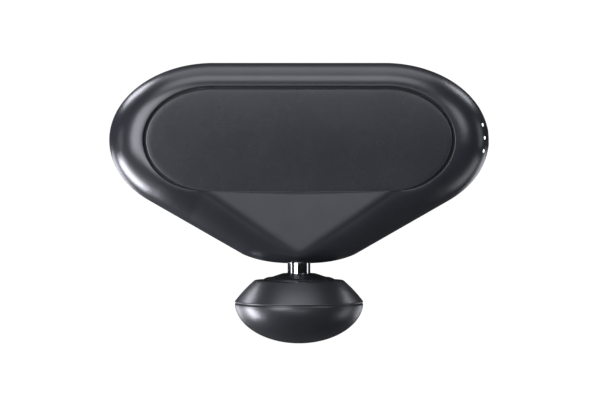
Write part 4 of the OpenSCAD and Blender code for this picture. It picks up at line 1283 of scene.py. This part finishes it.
# %% [markdown]
# ## Studio
# The object hangs over a pale floor in white surroundings. Both are white to the eye only: the
# light that they give is small, so that the dark body keeps its contrast and soft boxes draw its
# form. A tall one at the left front draws the long highlight on the left lobe, those above light
# the upper band and the head's cone, a low one in front lights the facet, and those behind give
# the lower edges a pale rim. Two small ones stand close to the head, so that they light its dome
# and hardly touch the body.

# %% Floor and surroundings
scene = bpy.context.scene
scene.view_settings.view_transform = "Standard"
FLOOR_DROP = 400 * MM
FLOOR_SEEN = 1.05
floor_z = cad_low[2] - FLOOR_DROP
FLOOR_R = 12.0
floor_mesh = bpy.data.meshes.new("studio_floor")
spin = np.linspace(0, 2 * math.pi, 96, endpoint=False)
floor_ring = np.stack([FLOOR_R * np.cos(spin), FLOOR_R * np.sin(spin), np.full(96, floor_z)], -1)
floor_mesh.from_pydata(floor_ring.tolist(), [], [list(range(96))])
studio_floor = bpy.data.objects.new("studio_floor", floor_mesh)
scene.collection.objects.link(studio_floor)
floor_look = Finish("floor_paper")
seen = floor_look.node("LightPath", {}, {}, "Is Camera Ray")
floor_look.set(Base_Color=(0.06, 0.06, 0.06), Roughness=0.9, Emission_Color=(1.0, 1.0, 1.0),
               Emission_Strength=seen * FLOOR_SEEN)
floor_mesh.materials.append(floor_look.material)

world = bpy.data.worlds.new("studio")
scene.world = world
world.use_nodes = True
world_tree = world.node_tree
background = world_tree.nodes["Background"]
light_path = world_tree.nodes.new("ShaderNodeLightPath")
level = world_tree.nodes.new("ShaderNodeMapRange")
FRONT_LEVEL, SEEN_LEVEL = 0.04, 1.05
level.inputs[3].default_value, level.inputs[4].default_value = FRONT_LEVEL, SEEN_LEVEL
world_tree.links.new(light_path.outputs["Is Camera Ray"], level.inputs[0])
world_tree.links.new(level.outputs[0], background.inputs["Strength"])
background.inputs["Color"].default_value = (1, 1, 1, 1)


# %% Soft boxes
LAMP_TINT = (0.96, 0.97, 1.06)
HEAD_Z = (head_top + ball_low[2]) / 2


def soft_box(name, azimuth, elevation, distance, width, height, power, centre_z=0.0):
    """An area light on a sphere round the point at height centre_z, turned to face it. Azimuth 0
    is in front, positive to the right."""
    a, e = math.radians(azimuth), math.radians(elevation)
    towards = Vector((math.sin(a) * math.cos(e), -math.cos(a) * math.cos(e), math.sin(e)))
    data = bpy.data.lights.new(name, "AREA")
    data.shape, data.size, data.size_y, data.energy = "RECTANGLE", width, height, power
    data.color = LAMP_TINT
    lamp = bpy.data.objects.new(name, data)
    scene.collection.objects.link(lamp)
    lamp.location = towards * distance + Vector((0, 0, centre_z))
    lamp.rotation_euler = towards.to_track_quat("Z", "Y").to_euler()
    lamp.visible_camera = False


# Name, azimuth, elevation, distance, width, height, power and, near the head, its height.
soft_boxes = [
    ("key_left", -32, 0, 1.4, 0.76, 1.5, 32),
    ("left_side", -84, -1, 1.3, 0.30, 0.5, 1.0),
    ("back_left", -129, 36, 1.2, 0.45, 0.4, 6),
    ("front_high", 0, 15, 1.6, 0.9, 0.16, 1.8),
    ("front_low", 0, -28, 0.8, 0.5, 0.16, 0.75),
    ("top", -8, 60, 1.4, 1.4, 0.8, 14),
    ("top_back", 180, 75, 1.4, 1.4, 1.1, 8),
    ("back_right", 125, 38, 1.2, 0.4, 0.4, 2.5),
    ("right_front", 40, 16, 1.4, 0.5, 0.5, 4),
    ("right_side", 98, 5, 1.4, 0.35, 0.6, 1.2),
    ("back_low_left", -142, -16, 1.2, 0.6, 0.35, 2.5),
    ("back_low_right", 142, -16, 1.2, 0.6, 0.35, 1.4),
    ("head_left", -98, -22, 0.32, 0.11, 0.18, 1.6, HEAD_Z),
    ("head_right", 96, -22, 0.32, 0.11, 0.18, 0.15, HEAD_Z)]
for settings in soft_boxes:
    soft_box(*settings)
print(f"{len(soft_boxes)} soft boxes")

# %% [markdown]
# ## Camera
# The camera stands level with the lobes, in front of the middle of the gun, and is aimed a little
# downwards so that the head is in the picture.

# %% Camera
CAMERA_DISTANCE = 1.2
CAMERA_X = 0.44 * MM       # a hair to the right of the middle
FRAME_W = 264 * MM         # width of what is seen at the gun
AIM_BELOW = 26.4 * MM
SENSOR = 36.0              # width in mm
camera_data = bpy.data.cameras.new("camera")
camera = bpy.data.objects.new("camera", camera_data)
scene.collection.objects.link(camera)
camera.location = (CAMERA_X, -CAMERA_DISTANCE - half_d, 0)
camera.rotation_euler = (math.pi / 2 - math.atan2(AIM_BELOW, CAMERA_DISTANCE + half_d), 0, 0)
camera_data.sensor_width = SENSOR
camera_data.lens = SENSOR * (CAMERA_DISTANCE + half_d) / FRAME_W
camera_data.clip_start, camera_data.clip_end = 0.01, 50
scene.camera = camera
print(f"lens of {camera_data.lens:.1f} mm")
